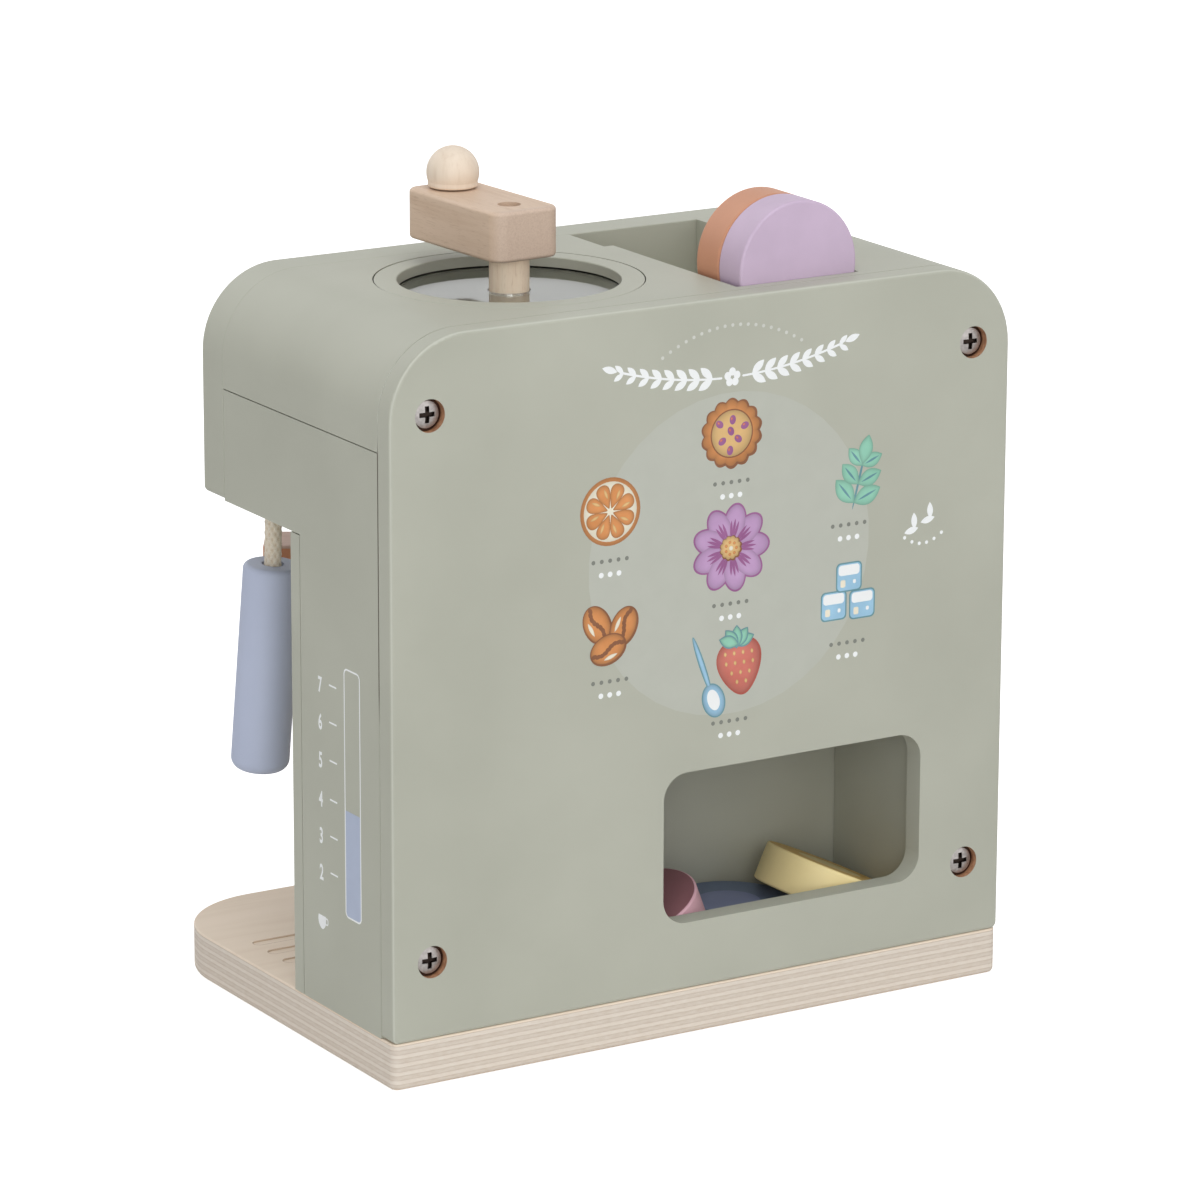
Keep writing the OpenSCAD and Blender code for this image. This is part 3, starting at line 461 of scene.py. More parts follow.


# ---- Ring and painted joint ----
# The ring round the window lies in a counterbore; its outer wall and underside are painted
# near black as the shade in the gap round it. The joint behind the menu panel is bridged by
# paint; over a stretch at the upper part of each side the strip is painted dark as the shade
# of an open joint, with a painted highlight on the paint ridge above it.
quarter = math.pi / 2
gap_shade = (52, 50, 44)
ring_low, ring_high = (Vector(corner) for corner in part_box("grinder_ring"))
ring_paint = satin_paint("sage_paint_ring", sage)
nodes, links = ring_paint.node_tree.nodes, ring_paint.node_tree.links
shader = nodes["Principled BSDF"]
axes = axes_of(nodes, links, object_place(nodes, links, shift=(ring_low + ring_high) / 2))
reach = distance(nodes, links, axes["X"], axes["Y"])
ring_half_t = (ring_high.z - ring_low.z) / 2
ring_r = (ring_high.x - ring_low.x) / 2
# Painted shade: the ring's outer wall and underside are near black, standing for the gap round it.
outer_wall = math_node(nodes, links, "MULTIPLY",
                       math_node(nodes, links, "GREATER_THAN", reach, ring_r - 0.15 * MM),
                       math_node(nodes, links, "LESS_THAN", axes["Z"], ring_half_t - 0.2 * MM))
underside = math_node(nodes, links, "LESS_THAN", axes["Z"], 0.3 * MM - ring_half_t)
painted = shader.inputs["Base Color"].links[0].from_socket
links.new(mix_colours(nodes, links, math_node(nodes, links, "MAXIMUM", outer_wall, underside), painted,
                      linear(gap_shade)), shader.inputs["Base Color"])
dress("grinder_ring", ring_paint)

panel_low, panel_high = (Vector(corner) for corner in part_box("back_panel"))
joint_depth = 0.6 * MM
shoulder_r = 28 * MM
foot_r = 1.2 * MM
joint = bmesh.new()
loops = []
for inward in (0.03 * MM, joint_depth):
    loop = bmesh.ops.create_circle(joint, segments=160, radius=1,
                                   matrix=Matrix.Rotation(quarter, 4, "X"))["verts"]
    for corner in loop:
        reach_x, reach_z = corner.co.x, corner.co.z
        upper = 1 if reach_z > 1e-6 else -1
        corner_r = shoulder_r if upper > 0 else foot_r
        middle_z, half_z = (panel_low.z + panel_high.z) / 2, (panel_high.z - panel_low.z) / 2
        corner.co.x = math.copysign(panel_high.x - corner_r, reach_x) + (corner_r - inward) * reach_x
        corner.co.z = middle_z + upper * (half_z - corner_r) + (corner_r - inward) * reach_z
        corner.co.y = panel_low.y - 0.39 * MM
    loops += list({e for v in loop for e in v.link_edges})
band = bmesh.ops.bridge_loops(joint, edges=loops)["faces"]
grown = bmesh.ops.extrude_face_region(joint, geom=band)["geom"]
outer_side = [v for v in grown if isinstance(v, bmesh.types.BMVert)]
bmesh.ops.translate(joint, verts=outer_side, vec=(0, 0.38 * MM, 0))
bmesh.ops.recalc_face_normals(joint, faces=joint.faces)
joint_mesh = bpy.data.meshes.new("painted_joint")
joint.to_mesh(joint_mesh)
joint.free()
joint_paint, nodes, links, shader = new_finish("joint_paint", sage, 0.5)
up = math_node(nodes, links, "DIVIDE", axes_of(nodes, links)["Z"], panel_high.z)
open_joint_shade = (96, 90, 80)
ridge_highlight = (208, 210, 200)
# Painted shade and highlight: the strip is dark where the joint should look open, and lighter above that,
# standing for the highlight on the paint ridge.
links.new(colour_ramp(nodes, links, up,
                      [(0.49, sage), (0.53, open_joint_shade), (0.845, open_joint_shade), (0.87, ridge_highlight),
                       (0.955, ridge_highlight), (0.985, sage)]), shader.inputs["Base Color"])
joint_mesh.materials.append(joint_paint)
painted_joint = into_scene(bpy.data.objects.new("painted_joint", joint_mesh))
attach(painted_joint, "machine")


# ---- Screws, springs and magnets ----
# Zinc plated steel screws with domed heads hold the panel, the group head and the inner
# boards. The buttons' springs are zinc plated too, and the magnets nickel plated.
cross_r = 2.9 * MM
head_rim_r = 4.5 * MM


def plated(name, colour, roughness, wear_depth=42, cross_y=None):
    """The cross recess below cross_y in each screw of the panel is painted nearly black as the shade inside
    it, and each head's outer rim is painted dark as the shadow in the gap round it.
    """
    finish, nodes, links, shader = new_finish(name, colour, roughness)
    shader.inputs["Metallic"].default_value = 1.0
    wear = add_node(nodes, "ShaderNodeTexNoise", Scale=900, Detail=4)
    links.new(object_place(nodes, links), wear.inputs["Vector"])
    tint = colour_ramp(nodes, links, wear.outputs["Fac"],
                       [(0.3, tuple(c - wear_depth for c in colour)), (0.65, colour)])
    if cross_y:
        reach, axes = bore_reach(nodes, links)
        cross_shade = math_node(nodes, links, "MULTIPLY", math_node(nodes, links, "LESS_THAN", reach, cross_r),
                          math_node(nodes, links, "LESS_THAN", axes["Y"], cross_y))
        tint = mix_colours(nodes, links, cross_shade, tint, linear((62, 52, 48)))
        # Painted shadow: the outer rim of each head is darkened, standing for the gap round it.
        rim = math_node(nodes, links, "GREATER_THAN", reach, head_rim_r)
        tint = mix_colours(nodes, links, rim, tint, linear((84, 72, 66)))
    links.new(tint, shader.inputs["Base Color"])
    add_bump(nodes, links, shader, wear.outputs["Fac"], 0.03 * MM, 0.6)
    return finish


dress("panel_screws", plated("zinc_heads", (196, 191, 188), 0.45, 22, 81.25 * MM))
zinc = plated("zinc_plate", (206, 193, 186), 0.5)
for part in ("group_screws", "base_screws", "hopper_screws", "batten_screws", "shaft_screw",
             "arm_screw", "knob_pin", "spindle_screw"):
    dress(part, zinc)
for side in ("left", "right"):
    coil = bmesh.new()
    coil.from_mesh(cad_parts[side + "_spring"].data)
    bmesh.ops.remove_doubles(coil, verts=coil.verts, dist=0.001 * MM)
    coil_mesh = bpy.data.meshes.new(side + "_button_spring")
    coil.to_mesh(coil_mesh)
    coil.free()
    coil_mesh.materials.append(zinc)
    spring = into_scene(bpy.data.objects.new(side + "_button_spring", coil_mesh))
    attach(spring, "machine")
    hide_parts(side + "_spring")
    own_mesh(spring)
nickel = plated("nickel_plate", (205, 200, 192), 0.2)
for part in ("disc_magnets", "bowl_magnets"):
    dress(part, nickel)


# ---- Bare beech parts ----
# The crank arm, its knob and shaft, the portafilter's handle, the dowels and the paddle are
# turned or sawn from beech and only lacquered, with fine flecks along the grain.
def bare_wood(name, colour, turn=(0, 0, 0), middle=(0, 0, 0), end_colour=None, end_reach=1.0,
              flecked=0.3):
    """Grain runs along X after the turn. Towards end_reach from the middle the end grain shows."""
    finish, nodes, links, shader = new_finish(name, colour, 0.5)
    r, g, b = colour
    streaks = add_node(nodes, "ShaderNodeTexNoise", Scale=1, Detail=5, Roughness=0.6)
    links.new(object_place(nodes, links, (26, 420, 420), turn, middle), streaks.inputs["Vector"])
    flecks = add_node(nodes, "ShaderNodeTexNoise", Scale=1, Detail=2)
    links.new(object_place(nodes, links, (260, 2600, 2600), turn, middle), flecks.inputs["Vector"])
    tint = colour_ramp(nodes, links, streaks.outputs["Fac"],
                       [(0.25, (r - 11, g - 14, b - 16)), (0.5, colour),
                        (0.75, (min(255, r + 5), min(255, g + 5), min(255, b + 6)))])
    dash = colour_ramp(nodes, links, flecks.outputs["Fac"],
                       [(0.30, (205, 186, 168)), (0.42, (255, 255, 255))])
    tint = mix_colours(nodes, links, flecked, tint, dash, "MULTIPLY")
    if end_colour:
        axes = axes_of(nodes, links, object_place(nodes, links, (1, 1, 1), turn, middle))
        along = math_node(nodes, links, "ABSOLUTE", axes["X"])
        past = map_range(nodes, links, along, end_reach - 3 * MM, end_reach)
        dots = add_node(nodes, "ShaderNodeTexNoise", Scale=1700, Detail=4, Roughness=0.7)
        links.new(object_place(nodes, links), dots.inputs["Vector"])
        er, eg, eb = end_colour
        end_grain = colour_ramp(nodes, links, dots.outputs["Fac"],
                                [(0.3, (er - 14, eg - 16, eb - 16)), (0.6, end_colour)])
        tint = mix_colours(nodes, links, past, tint, end_grain)
    links.new(tint, shader.inputs["Base Color"])
    grain = math_node(nodes, links, "ADD", streaks.outputs["Fac"], flecks.outputs["Fac"])
    add_bump(nodes, links, shader, grain, 0.05 * MM, 0.6)
    return finish


arm_turn = math.radians(3.2)
arm_low, arm_high = (Vector(corner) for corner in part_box("crank_arm"))
arm_middle = (arm_low + arm_high) / 2
dress("crank_arm", bare_wood("beech_arm", (216, 190, 166), (0, 0, -quarter - arm_turn), arm_middle,
                             (212, 189, 170), 27.2 * MM))
upright = bare_wood("beech_upright", (228, 202, 172), (0, quarter, 0))
for part in ("disc_pivot", "hood_dowels"):
    dress(part, upright)
# Painted light: the shaft's beech is lighter than the other turned beech, offsetting the shadow of the arm
# over it.
dress("crank_shaft", bare_wood("beech_shaft_lightened", (255, 234, 208), (0, quarter, 0)))
dress("crank_knob", bare_wood("beech_knob", (237, 220, 200), (0, quarter, 0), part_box("crank_knob")[0],
                              flecked=0.0))
lengthwise = bare_wood("beech_lengthwise", (222, 200, 170))
dress("bean_paddle", lengthwise)
crosswise = bare_wood("beech_crosswise", (222, 200, 170), (0, 0, quarter))
for part in ("front_dowels", "selector_spindle"):
    dress(part, crosswise)
handle_turn = math.radians(59)
handle_finish = bare_wood("beech_handle", (190, 158, 142), (0, 0, -quarter - handle_turn))
nodes, links = handle_finish.node_tree.nodes, handle_finish.node_tree.links
# Painted shade: faces of the handle that do not face up take a darker orange-brown than its top.
facing = axes_of(nodes, links, add_node(nodes, "ShaderNodeTexCoord").outputs["Normal"])
side_shade_input = nodes["Principled BSDF"].inputs["Base Color"]
links.new(mix_colours(nodes, links, math_node(nodes, links, "LESS_THAN", facing["Z"], 0.5),
                      side_shade_input.links[0].from_socket, linear((198, 134, 96))), side_shade_input)
for part in ("portafilter_handle", "handle_dowel"):
    dress(part, handle_finish)


# ---- Inner plywood parts ----
# Washers, the hopper's floor, the button batten, the turning disc and the twin spout are
# cut from thin birch plywood or turned from birch, and clear lacquered.
for part, ply_count in (("hopper_floor", 5), ("shaft_washer", 3), ("group_disc", 5),
                        ("button_batten", 15)):
    dress(part, plywood(part, ply_count, (218, 200, 176)))
birch = bare_wood("birch_turned", (224, 206, 180), (0, quarter, 0))
for part in ("twin_spout", "spindle_washer"):
    dress(part, birch)


# ---- Grinder window ----
# A clear acrylic disc, 3 mm thick, lies under the inset ring, so that beans can be
# watched. The crank's shaft turns in a hole in its middle; round the hole the acrylic is
# tinted dark grey as painted shade in the gap.
acrylic, nodes, links, shader = new_finish("clear_acrylic", (240, 246, 246), 0.03)
shader.inputs["Transmission Weight"].default_value = 1.0
shader.inputs["IOR"].default_value = 1.49
smears = add_node(nodes, "ShaderNodeTexNoise", Scale=60, Detail=3)
links.new(object_place(nodes, links), smears.inputs["Vector"])
rough = map_range(nodes, links, smears.outputs["Fac"], to_min=0.02, to_max=0.07)
links.new(rough, shader.inputs["Roughness"])
shaft_low, shaft_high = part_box("crank_shaft")
shaft_middle = [(a + b) / 2 for a, b in zip(shaft_low, shaft_high)]
axes = axes_of(nodes, links, object_place(nodes, links, shift=(shaft_middle[0], shaft_middle[1], 0)))
# Painted shade: within this reach of the shaft's axis the acrylic is tinted dark grey, standing for the gap
# round the shaft.
hole_shade_r = 7.3 * MM
hole_shade = math_node(nodes, links, "LESS_THAN", distance(nodes, links, axes["X"], axes["Y"]), hole_shade_r)
links.new(mix_colours(nodes, links, hole_shade, linear((206, 210, 206)), linear((96, 92, 84))),
          shader.inputs["Base Color"])
dress("grinder_window", acrylic)


# ---- Pods ----
# Five turned wooden pods, painted in five colours. The yellow and the rose pod have faces
# in a deeper tone, and the navy and the yellow pod a paler middle.
pod_face_r = 22.2 * MM
pod_middle_r = 11.5 * MM


def pod_paint(name, rim_colour, face_colour, middle_colour, middle, turn, face_reach):
    """The pod's axis runs along Z after the turn. Its faces start face_reach from the middle."""
    finish, nodes, links, shader = new_finish(name, rim_colour, 0.5)
    axes = axes_of(nodes, links, object_place(nodes, links, (1, 1, 1), turn, middle))
    reach = distance(nodes, links, axes["X"], axes["Y"])
    on_face = math_node(nodes, links, "GREATER_THAN",
                        math_node(nodes, links, "ABSOLUTE", axes["Z"]), face_reach)
    inside_line = math_node(nodes, links, "LESS_THAN", reach, pod_face_r)
    inside_oval = math_node(nodes, links, "LESS_THAN", reach, pod_middle_r)
    face = mix_colours(nodes, links, inside_line, linear(rim_colour), linear(face_colour))
    face = mix_colours(nodes, links, inside_oval, face, linear(middle_colour))
    colour = mix_colours(nodes, links, on_face, linear(rim_colour), face)
    cloud = add_node(nodes, "ShaderNodeTexNoise", Scale=90, Detail=4)
    links.new(object_place(nodes, links), cloud.inputs["Vector"])
    veil = colour_ramp(nodes, links, cloud.outputs["Fac"], [(0.3, (249, 249, 249)), (0.65, (255, 255, 255))])
    links.new(mix_colours(nodes, links, 1.0, colour, veil, "MULTIPLY"), shader.inputs["Base Color"])
    skin = add_node(nodes, "ShaderNodeTexNoise", Scale=1300, Detail=3)
    links.new(object_place(nodes, links), skin.inputs["Vector"])
    add_bump(nodes, links, shader, skin.outputs["Fac"], 0.03 * MM, 0.6)
    return finish


def middle_of(node):
    low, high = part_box(node)
    return (Vector(low) + Vector(high)) / 2


face_reach = (6.8 - 0.35) * MM
pods = {
    "pod_lilac": ((206, 184, 208), (206, 184, 208), (206, 184, 208), (quarter, 0, 0)),
    "pod_terracotta": ((208, 148, 116), (208, 148, 116), (208, 148, 116), (quarter, 0, 0)),
    "pod_navy": ((112, 128, 158), (114, 130, 160), (138, 148, 186), (0, 0, 0)),
    "pod_yellow": ((252, 232, 170), (216, 178, 98), (226, 206, 150), (0, math.radians(25), 0)),
    "pod_rose": ((230, 182, 194), (160, 108, 116), (160, 108, 116), (0, math.radians(-21), 0)),
}
for pod, (rim, face, oval, turn) in pods.items():
    dress(pod, pod_paint("paint_" + pod, rim, face, oval, middle_of(pod), turn, face_reach))


# ---- Painted small parts ----
# The steam handle, dial, buttons, group head and portafilter bowl are turned from beech
# and sprayed in the pods' colours.
dress("steam_handle", satin_paint("slate_paint", (184, 192, 214), 0.55))
dress("selector_dial", satin_paint("lilac_paint", (200, 180, 204)))
dress("left_button", satin_paint("navy_paint", (104, 116, 138)))
terracotta = satin_paint("terracotta_paint", (208, 148, 116))
for part in ("right_button", "portafilter_bowl"):
    dress(part, terracotta)
dress("group_head", satin_paint("rose_paint", (196, 158, 168)))


# ---- Printed water gauge ----
# White screen print on the side board: an outlined tube filled to just under mark 4, plain
# numbers, ticks and a small cup. The ink lies 0.02 mm and more above the paint.
def ink(name, colour, mottle=0, pooled=0.0):
    """The ink is mottled a little and pools darker along the border of each patch."""
    finish, nodes, links, shader = new_finish(name, colour, 0.6)
    wash = add_node(nodes, "ShaderNodeTexNoise", Scale=110, Detail=5, Roughness=0.55)
    links.new(object_place(nodes, links), wash.inputs["Vector"])
    tint = colour_ramp(nodes, links, wash.outputs["Fac"],
                       [(0.3, tuple(max(0, c - mottle) for c in colour)),
                        (0.7, tuple(min(255, c + mottle // 2) for c in colour))])
    if pooled:
        border = add_node(nodes, "ShaderNodeAttribute", attribute_name="border").outputs["Fac"]
        pool = math_node(nodes, links, "MULTIPLY", math_node(nodes, links, "POWER", border, 4.0), pooled)
        tint = mix_colours(nodes, links, pool, tint, linear(tuple(c * 0.62 for c in colour)))
    links.new(tint, shader.inputs["Base Color"])
    return finish


def new_print():
    shape = bmesh.new()
    shape.verts.layers.float.new("border")
    return shape


def ink_height(layer):
    """Each layer lies 3 micrometres above the one before."""
    return (20 + 3 * layer) * 0.001 * MM


def blot(shape, size_mm, place_mm, layer=0, slot=0, turn=0.0, outline=None, sides=40):
    """A patch of ink, a fan of triangles. The outline moves the points of a circle 1 mm across."""
    new = bmesh.ops.create_circle(shape, cap_ends=True, cap_tris=True, segments=sides, radius=0.5)["verts"]
    border = shape.verts.layers.float["border"]
    for corner in new:
        corner[border] = min(1.0, 2 * corner.co.length)
        if outline:
            corner.co.x, corner.co.y = outline(corner.co.x, corner.co.y)
    bmesh.ops.scale(shape, verts=new, vec=(size_mm[0] * MM, size_mm[1] * MM, 1))
    bmesh.ops.rotate(shape, verts=new, matrix=Matrix.Rotation(turn, 3, "Z"))
    bmesh.ops.translate(shape, verts=new, vec=(place_mm[0] * MM, place_mm[1] * MM, ink_height(layer)))
    for face in {f for v in new for f in v.link_faces}:
        face.material_index = slot


def round_corners(shape, verts, low_mm, high_mm, radius_mm, layer):
    """Spreads a circle of radius 1 over a rectangle, so that its quarters become the corners."""
    for corner in verts:
        for axis in (0, 1):
            middle, half = (low_mm[axis] + high_mm[axis]) / 2, (high_mm[axis] - low_mm[axis]) / 2
            reach = corner.co[axis]
            spread = math.copysign(half - radius_mm, reach) if abs(reach) > 1e-6 else 0
            corner.co[axis] = (middle + spread + radius_mm * reach) * MM
        corner.co.z = ink_height(layer)


def strip(shape, low_mm, high_mm, radius_mm, layer=0, slot=0, line_mm=None):
    """A printed rectangle with rounded corners, or only a line round it."""
    half_step = Matrix.Rotation(math.pi / 40, 4, "Z")
    outer = bmesh.ops.create_circle(shape, cap_ends=not line_mm, cap_tris=True, segments=40, radius=1,
                                    matrix=half_step)["verts"]
    round_corners(shape, outer, low_mm, high_mm, radius_mm, layer)
    faces = {f for v in outer for f in v.link_faces}
    if line_mm:
        inner = bmesh.ops.create_circle(shape, segments=40, radius=1, matrix=half_step)["verts"]
        round_corners(shape, inner, [v + line_mm for v in low_mm], [v - line_mm for v in high_mm],
                      radius_mm - line_mm, layer)
        loops = {e for v in list(outer) + list(inner) for e in v.link_edges}
        faces = bmesh.ops.bridge_loops(shape, edges=list(loops))["faces"]
    for face in faces:
        face.material_index = slot


def finish_print(name, shape, to_place, inks):
    bmesh.ops.transform(shape, matrix=to_place, verts=shape.verts)
    bmesh.ops.recalc_face_normals(shape, faces=shape.faces)
    mesh = bpy.data.meshes.new(name)
    shape.to_mesh(mesh)
    shape.free()
    for colour in inks:
        mesh.materials.append(colour)
    piece = into_scene(bpy.data.objects.new(name, mesh))
    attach(piece, "machine")


gauge_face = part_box("gauge_side_board")[1][0]
gauge_plane = Matrix(((0, 0, 1, gauge_face), (1, 0, 0, 0), (0, 1, 0, 0), (0, 0, 0, 1)))
gauge = new_print()
strip(gauge, (52.1, 51.8), (62.6, 88.5), 1.9, 0, 1)
strip(gauge, (52.1, 70), (62.6, 88.5), 0.1, 1, 1)
strip(gauge, (51.9, 51.6), (62.8, 137.0), 2.2, 3, 0, line_mm=0.6)
number_heights = {"7": 127.2, "6": 114.5, "5": 101.4, "4": 88.0, "3": 75.3, "2": 62.6}
for height in number_heights.values():
    strip(gauge, (41.8, height + 1.1), (46.9, height + 1.7), 0.25)
cup = (35.8, 46.2)
blot(gauge, (5.4, 6.6), cup, outline=lambda x, y: (x * (1.0 if y > 0 else 1 - 0.5 * y * y), min(y, 0.22)))
strip(gauge, (cup[0] + 2.0, cup[1] - 1.4), (cup[0] + 4.2, cup[1] + 1.2), 1.0, 1, 0, line_mm=0.5)
white_ink = ink("white_ink", (244, 246, 246))
water_ink = ink("water_ink", (180, 190, 212), 4)
finish_print("gauge_print", gauge, gauge_plane, [white_ink, water_ink])
for number, height in number_heights.items():
    lettering = bpy.data.curves.new("number", "FONT")
    lettering.body = number
    lettering.size = 7.4 * MM
    lettering.offset = 0.2 * MM
    lettering.align_x = "CENTER"
    writing = into_scene(bpy.data.objects.new("gauge_number_" + number, lettering))
    bpy.context.view_layer.update()
    mesh = bpy.data.meshes.new_from_object(writing.evaluated_get(bpy.context.evaluated_depsgraph_get()))
    bpy.data.objects.remove(writing)
    mesh.transform(gauge_plane @ Matrix.Translation((35.7 * MM, (height - 2.4) * MM, ink_height(0)))
                   @ Matrix.Diagonal((0.70, 1, 1, 1)))
    mesh.materials.clear()
    mesh.materials.append(white_ink)
    piece = into_scene(bpy.data.objects.new("gauge_number_" + number, mesh))
    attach(piece, "machine")


# ---- Printed menu panel ----
# Watercolour screen print on the back panel: a pale disc, a garland, and a flower with six
# small still lifes round it, each with two rows of dots under it.
menu_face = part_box("back_panel")[1][1]
menu_plane = Matrix(((-1, 0, 0, 0), (0, 0, 1, menu_face), (0, 1, 0, 0), (0, 0, 0, 1)))
(PALE, WHITE, GREY, TEAL, LILAC, PLUM, ORANGE, BROWN, PINK, MINT, CREAM, BLUE, YELLOW, RED,
 LIGHT) = range(15)
menu = new_print()


def motif_at(place_mm):
    """Patches of one motif, each laid over the one before."""
    laid = [0]

    def put(size, offset, slot, turn=0.0, outline=None, sides=40):
        laid[0] += 1
        blot(menu, size, (place_mm[0] + offset[0], place_mm[1] + offset[1]), laid[0], slot, turn,
             outline, sides)
    return put


def leaf_outline(x, y):
    return x * math.sqrt(max(0.0, 1 - 4 * y * y)) * 1.1, y


def scalloped(lobes, depth):
    def outline(x, y):
        swell = 1 + depth * abs(math.sin(lobes / 2 * math.atan2(y, x))) - depth / 2
        return x * swell, y * swell
    return outline


def bean(put, place, turn):
    put((10.4, 14.4), place, BROWN, turn)
    put((9.2, 13.2), (place[0] - 0.2, place[1] + 0.2), ORANGE, turn)
    for step in range(9):
        along = (step - 4) * 1.45
        bend = 0.9 * math.sin(step * math.pi / 4)
        put((1.5, 2.4), (place[0] + bend * math.cos(turn) - along * math.sin(turn),
                         place[1] + bend * math.sin(turn) + along * math.cos(turn)), BROWN, turn, sides=12)
    put((1.2, 5.5), (place[0] - 2.7 * math.cos(turn), place[1] - 2.7 * math.sin(turn)), CREAM, turn,
        leaf_outline)


def sprig(place, turn, leaf_slot, vein_slot, pairs):
    put = motif_at(place)
    along = Vector((-math.sin(turn), math.cos(turn)))
    across = Vector((along.y, -along.x))
    put((0.9, 7.0 * pairs), along * 2.6 * pairs, vein_slot, turn)
    for step in range(pairs):
        wide, tall = 6.0 - 0.7 * step, 11.5 - 1.4 * step
        for side in (-1, 1):
            spot = along * (3 + 6.0 * step) + across * side * (4.6 - 0.6 * step)
            lean = turn - side * 0.95
            put((wide, tall), spot, leaf_slot, lean, leaf_outline)
            put((0.7, tall * 0.7), spot, vein_slot, lean, leaf_outline)
    put((5.0, 10), along * (5.6 * pairs + 1.4), leaf_slot, turn, leaf_outline)


def biscuit(place, size):
    put = motif_at(place)
    put((size, size), (0, 0), BROWN, 0.0, scalloped(14, 0.1), 112)
    put((size * 0.93, size * 0.93), (-0.2, 0.2), ORANGE, 0.0, scalloped(14, 0.1), 112)
    put((size * 0.72, size * 0.72), (0, 0), BROWN)
    put((size * 0.68, size * 0.68), (0, 0), YELLOW)
    for angle, far in ((0.4, 0.24), (1.5, 0.20), (2.5, 0.26), (3.7, 0.19), (4.6, 0.25), (5.6, 0.14),
                       (2.0, 0.04)):
        put((3.2, 2.4), (far * size * math.cos(angle), far * size * math.sin(angle)), PLUM, angle)
        put((1.2, 0.8), (far * size * math.cos(angle) - 0.4, far * size * math.sin(angle) + 0.4), PINK, angle)


def flower(place, petals=9):
    put = motif_at(place)
    for far, wide, tall, slot in ((8.4, 9.2, 14, PLUM), (8.2, 8.2, 13, LILAC)):
        for step in range(petals):
            angle = 2 * math.pi * step / petals
            put((wide, tall), (far * math.cos(angle), far * math.sin(angle)), slot, angle - quarter)
    for step in range(petals):
        angle = 2 * math.pi * step / petals
        for lean, far in ((0, 6.8), (0.16, 6.2), (-0.16, 6.2)):
            put((0.9, 6.5), (far * math.cos(angle + lean), far * math.sin(angle + lean)), PLUM,
                angle + lean - quarter, leaf_outline)
    put((8.4, 8.4), (0, 0), BROWN, 0.0, scalloped(12, 0.12), 72)
    put((7.6, 7.6), (-0.2, 0.2), YELLOW, 0.0, scalloped(12, 0.12), 72)
    for step in range(7):
        angle = 2 * math.pi * step / 7
        put((1.1, 1.1), (2.1 * math.cos(angle), 2.1 * math.sin(angle)), ORANGE, sides=12)
    put((1.6, 1.6), (0, 0), CREAM, sides=16)


def orange_slice(place, size):
    put = motif_at(place)
    put((size, size), (0, 0), ORANGE)
    put((size * 0.88, size * 0.88), (0, 0), CREAM)
    for step in range(8):
        angle = 2 * math.pi * (step + 0.5) / 8
        far = size * 0.235
        put((size * 0.26, size * 0.37), (far * math.cos(angle), far * math.sin(angle)), ORANGE,
            angle - quarter, lambda x, y: (x * (0.75 + y), y))
        put((size * 0.04, size * 0.16),
            (far * 1.15 * math.cos(angle - 0.12), far * 1.15 * math.sin(angle - 0.12)),
            YELLOW, angle - quarter, leaf_outline)


def sugar_cubes(place):
    for layer, (shift_x, shift_y) in enumerate(((-5.6, -3.2), (5.8, -3.8), (0.4, 6.2))):
        x, y, up = place[0] + shift_x, place[1] + shift_y, 6 * layer
        strip(menu, (x - 5.2, y - 5.0), (x + 5.2, y + 5.2), 1.8, 1 + up, TEAL)
        strip(menu, (x - 4.7, y - 4.5), (x + 4.7, y + 4.7), 1.5, 2 + up, BLUE)
        strip(menu, (x - 4.2, y + 0.7), (x + 4.2, y + 4.3), 1.2, 3 + up, WHITE)
        strip(menu, (x - 3.4, y - 3.4), (x - 1.4, y - 0.8), 0.6, 4 + up, CREAM)
        strip(menu, (x + 1.6, y - 2.4), (x + 2.8, y - 1.0), 0.5, 5 + up, WHITE)


def strawberry(place):
    put = motif_at(place)
    put((17.4, 20.4), (0, 0), RED, 0.15, lambda x, y: (x * (0.78 + 0.62 * y + 0.2), y))
    put((16.2, 19.2), (-0.2, 0.2), PINK, 0.15, lambda x, y: (x * (0.78 + 0.62 * y + 0.2), y))
    for up, count in ((4.6, 4), (1.2, 4), (-2.2, 3), (-5.4, 2)):
        for index in range(count):
            put((1.0, 1.7), ((index - (count - 1) / 2) * 3.5 - up * 0.12, up), YELLOW, 0.15, leaf_outline)
    for lean in (-1.25, -0.65, 0.0, 0.65, 1.25):
        put((4.2, 8.2), (-1.4 - 3.2 * math.sin(lean), 8.2 + 2.0 * math.cos(lean)), TEAL, lean, leaf_outline)
        put((3.4, 7.4), (-1.4 - 3.2 * math.sin(lean), 8.2 + 2.0 * math.cos(lean)), MINT, lean, leaf_outline)


def spoon(place, turn):
    put = motif_at(place)
    along = Vector((-math.sin(turn), math.cos(turn)))
    for slot, wider in ((TEAL, 0.9), (BLUE, 0.0)):
        put((1.5 + wider, 21 + wider), along * 5.5, slot, turn)
        put((8.0 + wider, 11.5 + wider), along * -8.0, slot, turn)
    put((4.6, 7.6), along * -7.8, WHITE, turn)


def dots(place, count, slot, size, step, bow=0.0):
    put = motif_at(place)
    for index in range(count):
        across = (index - (count - 1) / 2) * step
        put((size, size), (across, bow * across * across), slot, sides=12)


# The panel seen from the menu side: x runs to the right and y up, in mm
menu_middle = Vector((9, 165))
strip(menu, menu_middle - Vector((55, 55)), menu_middle + Vector((55, 55)), 54.9, 0, PALE)
dots((9, 242.5), 19, LIGHT, 1.25, 3.0, -0.011)


garland_x, garland_z, garland_bow = 9, 225, 0.0035


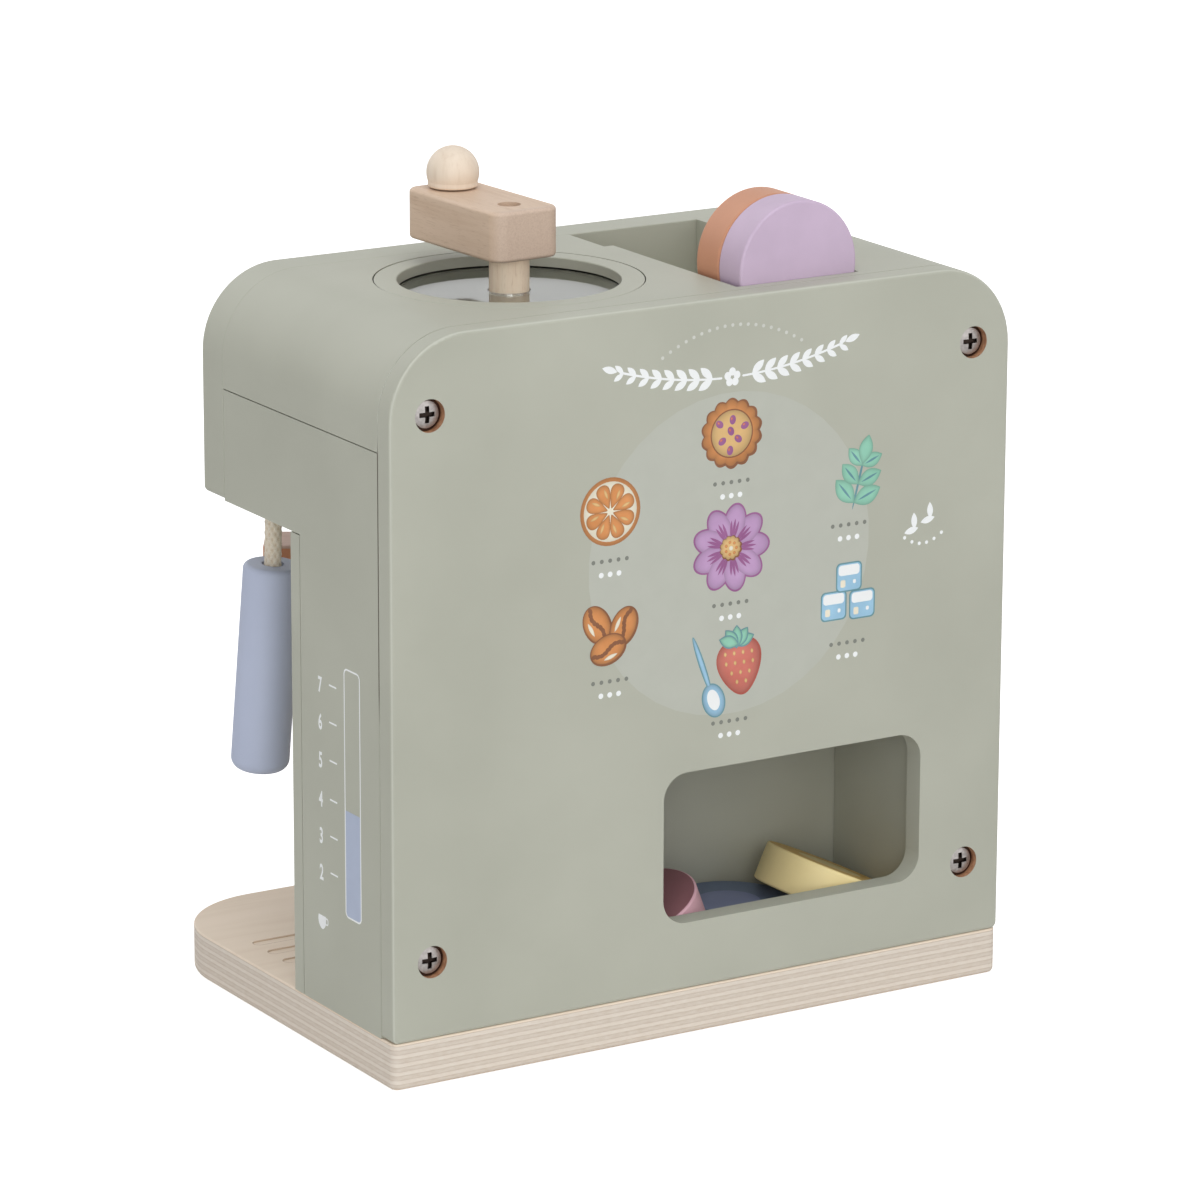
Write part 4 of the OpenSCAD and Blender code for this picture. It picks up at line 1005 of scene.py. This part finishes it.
def laurel(side):
    """One white branch of the garland, from the middle outwards, with a leaf above and one below."""
    for step in range(60):
        across = side * (4.5 + 0.65 * step)
        blot(menu, (1.3, 0.8), (garland_x + across, garland_z + garland_bow * across * across),
             1 + step % 3, WHITE, sides=12)
    for step in range(8):
        across = side * (7.5 + 4.9 * step)
        size = 1 - 0.045 * step
        for lean in (0.85, 2.1):
            spot = Vector((garland_x + across, garland_z + garland_bow * across * across))
            toward = Vector((side * math.sin(lean), math.cos(lean)))
            blot(menu, (2.5 * size, 6.2 * size), spot + toward * 3.4 * size,
                 4 + step % 2 + 2 * (lean > 1), WHITE, -side * lean, leaf_outline, 20)
    blot(menu, (2.2, 6.0), (garland_x + side * 47.2, 232.8), 8, WHITE, -side * 1.25, leaf_outline, 20)


laurel(-1)
laurel(1)
for step in range(5):
    angle = 2 * math.pi * step / 5 + quarter
    blot(menu, (2.6, 2.8), (garland_x + 1.9 * math.cos(angle), garland_z + 1.9 * math.sin(angle)),
         9 + step, WHITE, sides=16)
around = [menu_middle + Vector((54 * math.cos(angle), 41 * math.sin(angle)))
          for angle in (math.radians(30 + 60 * step) for step in range(6))]
flower(menu_middle + Vector((0, 2)))
sprig(around[0] + Vector((2, -9)), -0.25, MINT, TEAL, 3)
biscuit(around[1], 23)
orange_slice(around[2], 23)
put = motif_at(around[3])
bean(put, (-4.8, 3.2), 0.5)
bean(put, (5.4, 1.4), -0.45)
bean(put, (-0.6, -5.6), 1.9)
strawberry(around[4] + Vector((4, 2)))
spoon(around[4] + Vector((-9, -1)), 0.35)
sugar_cubes(around[5])
for spot in around + [menu_middle]:
    drop = 16.5 if spot != menu_middle else 17.0
    dots(spot - Vector((0, drop)), 5, GREY, 1.5, 3.2)
    dots(spot - Vector((0, drop + 4.6)), 3, WHITE, 1.9, 3.4)
for layer, (along, lean) in enumerate(((0, 1.35), (3.4, -0.05), (6.6, 1.35), (9.8, -0.05))):
    place = (79 + along + 2.2 * math.sin(lean), 163 + 0.45 * along + 2.2 * math.cos(lean))
    blot(menu, (2.2, 5.8), place, layer, WHITE, -lean, leaf_outline, 20)
dots((86, 158.5), 6, WHITE, 1.3, 3.0, 0.05)
menu_inks = [ink("pale_wash", (187, 189, 178), 2), white_ink, ink("grey_ink", (128, 130, 122), 4),
             ink("teal_ink", (104, 150, 160), 10), ink("lilac_ink", (196, 158, 200), 10, 0.5),
             ink("plum_ink", (156, 96, 146), 10), ink("orange_ink", (220, 148, 88), 14, 0.7),
             ink("brown_ink", (140, 92, 62), 10), ink("pink_ink", (214, 122, 108), 12, 0.6),
             ink("mint_ink", (150, 208, 184), 10, 0.6), ink("cream_ink", (240, 232, 210), 6, 0.3),
             ink("blue_ink", (158, 200, 226), 10, 0.6), ink("yellow_ink", (228, 188, 128), 10, 0.6),
             ink("red_ink", (176, 88, 76), 10), ink("light_ink", (208, 209, 202), 4)]
finish_print("menu_print", menu, menu_plane, menu_inks)
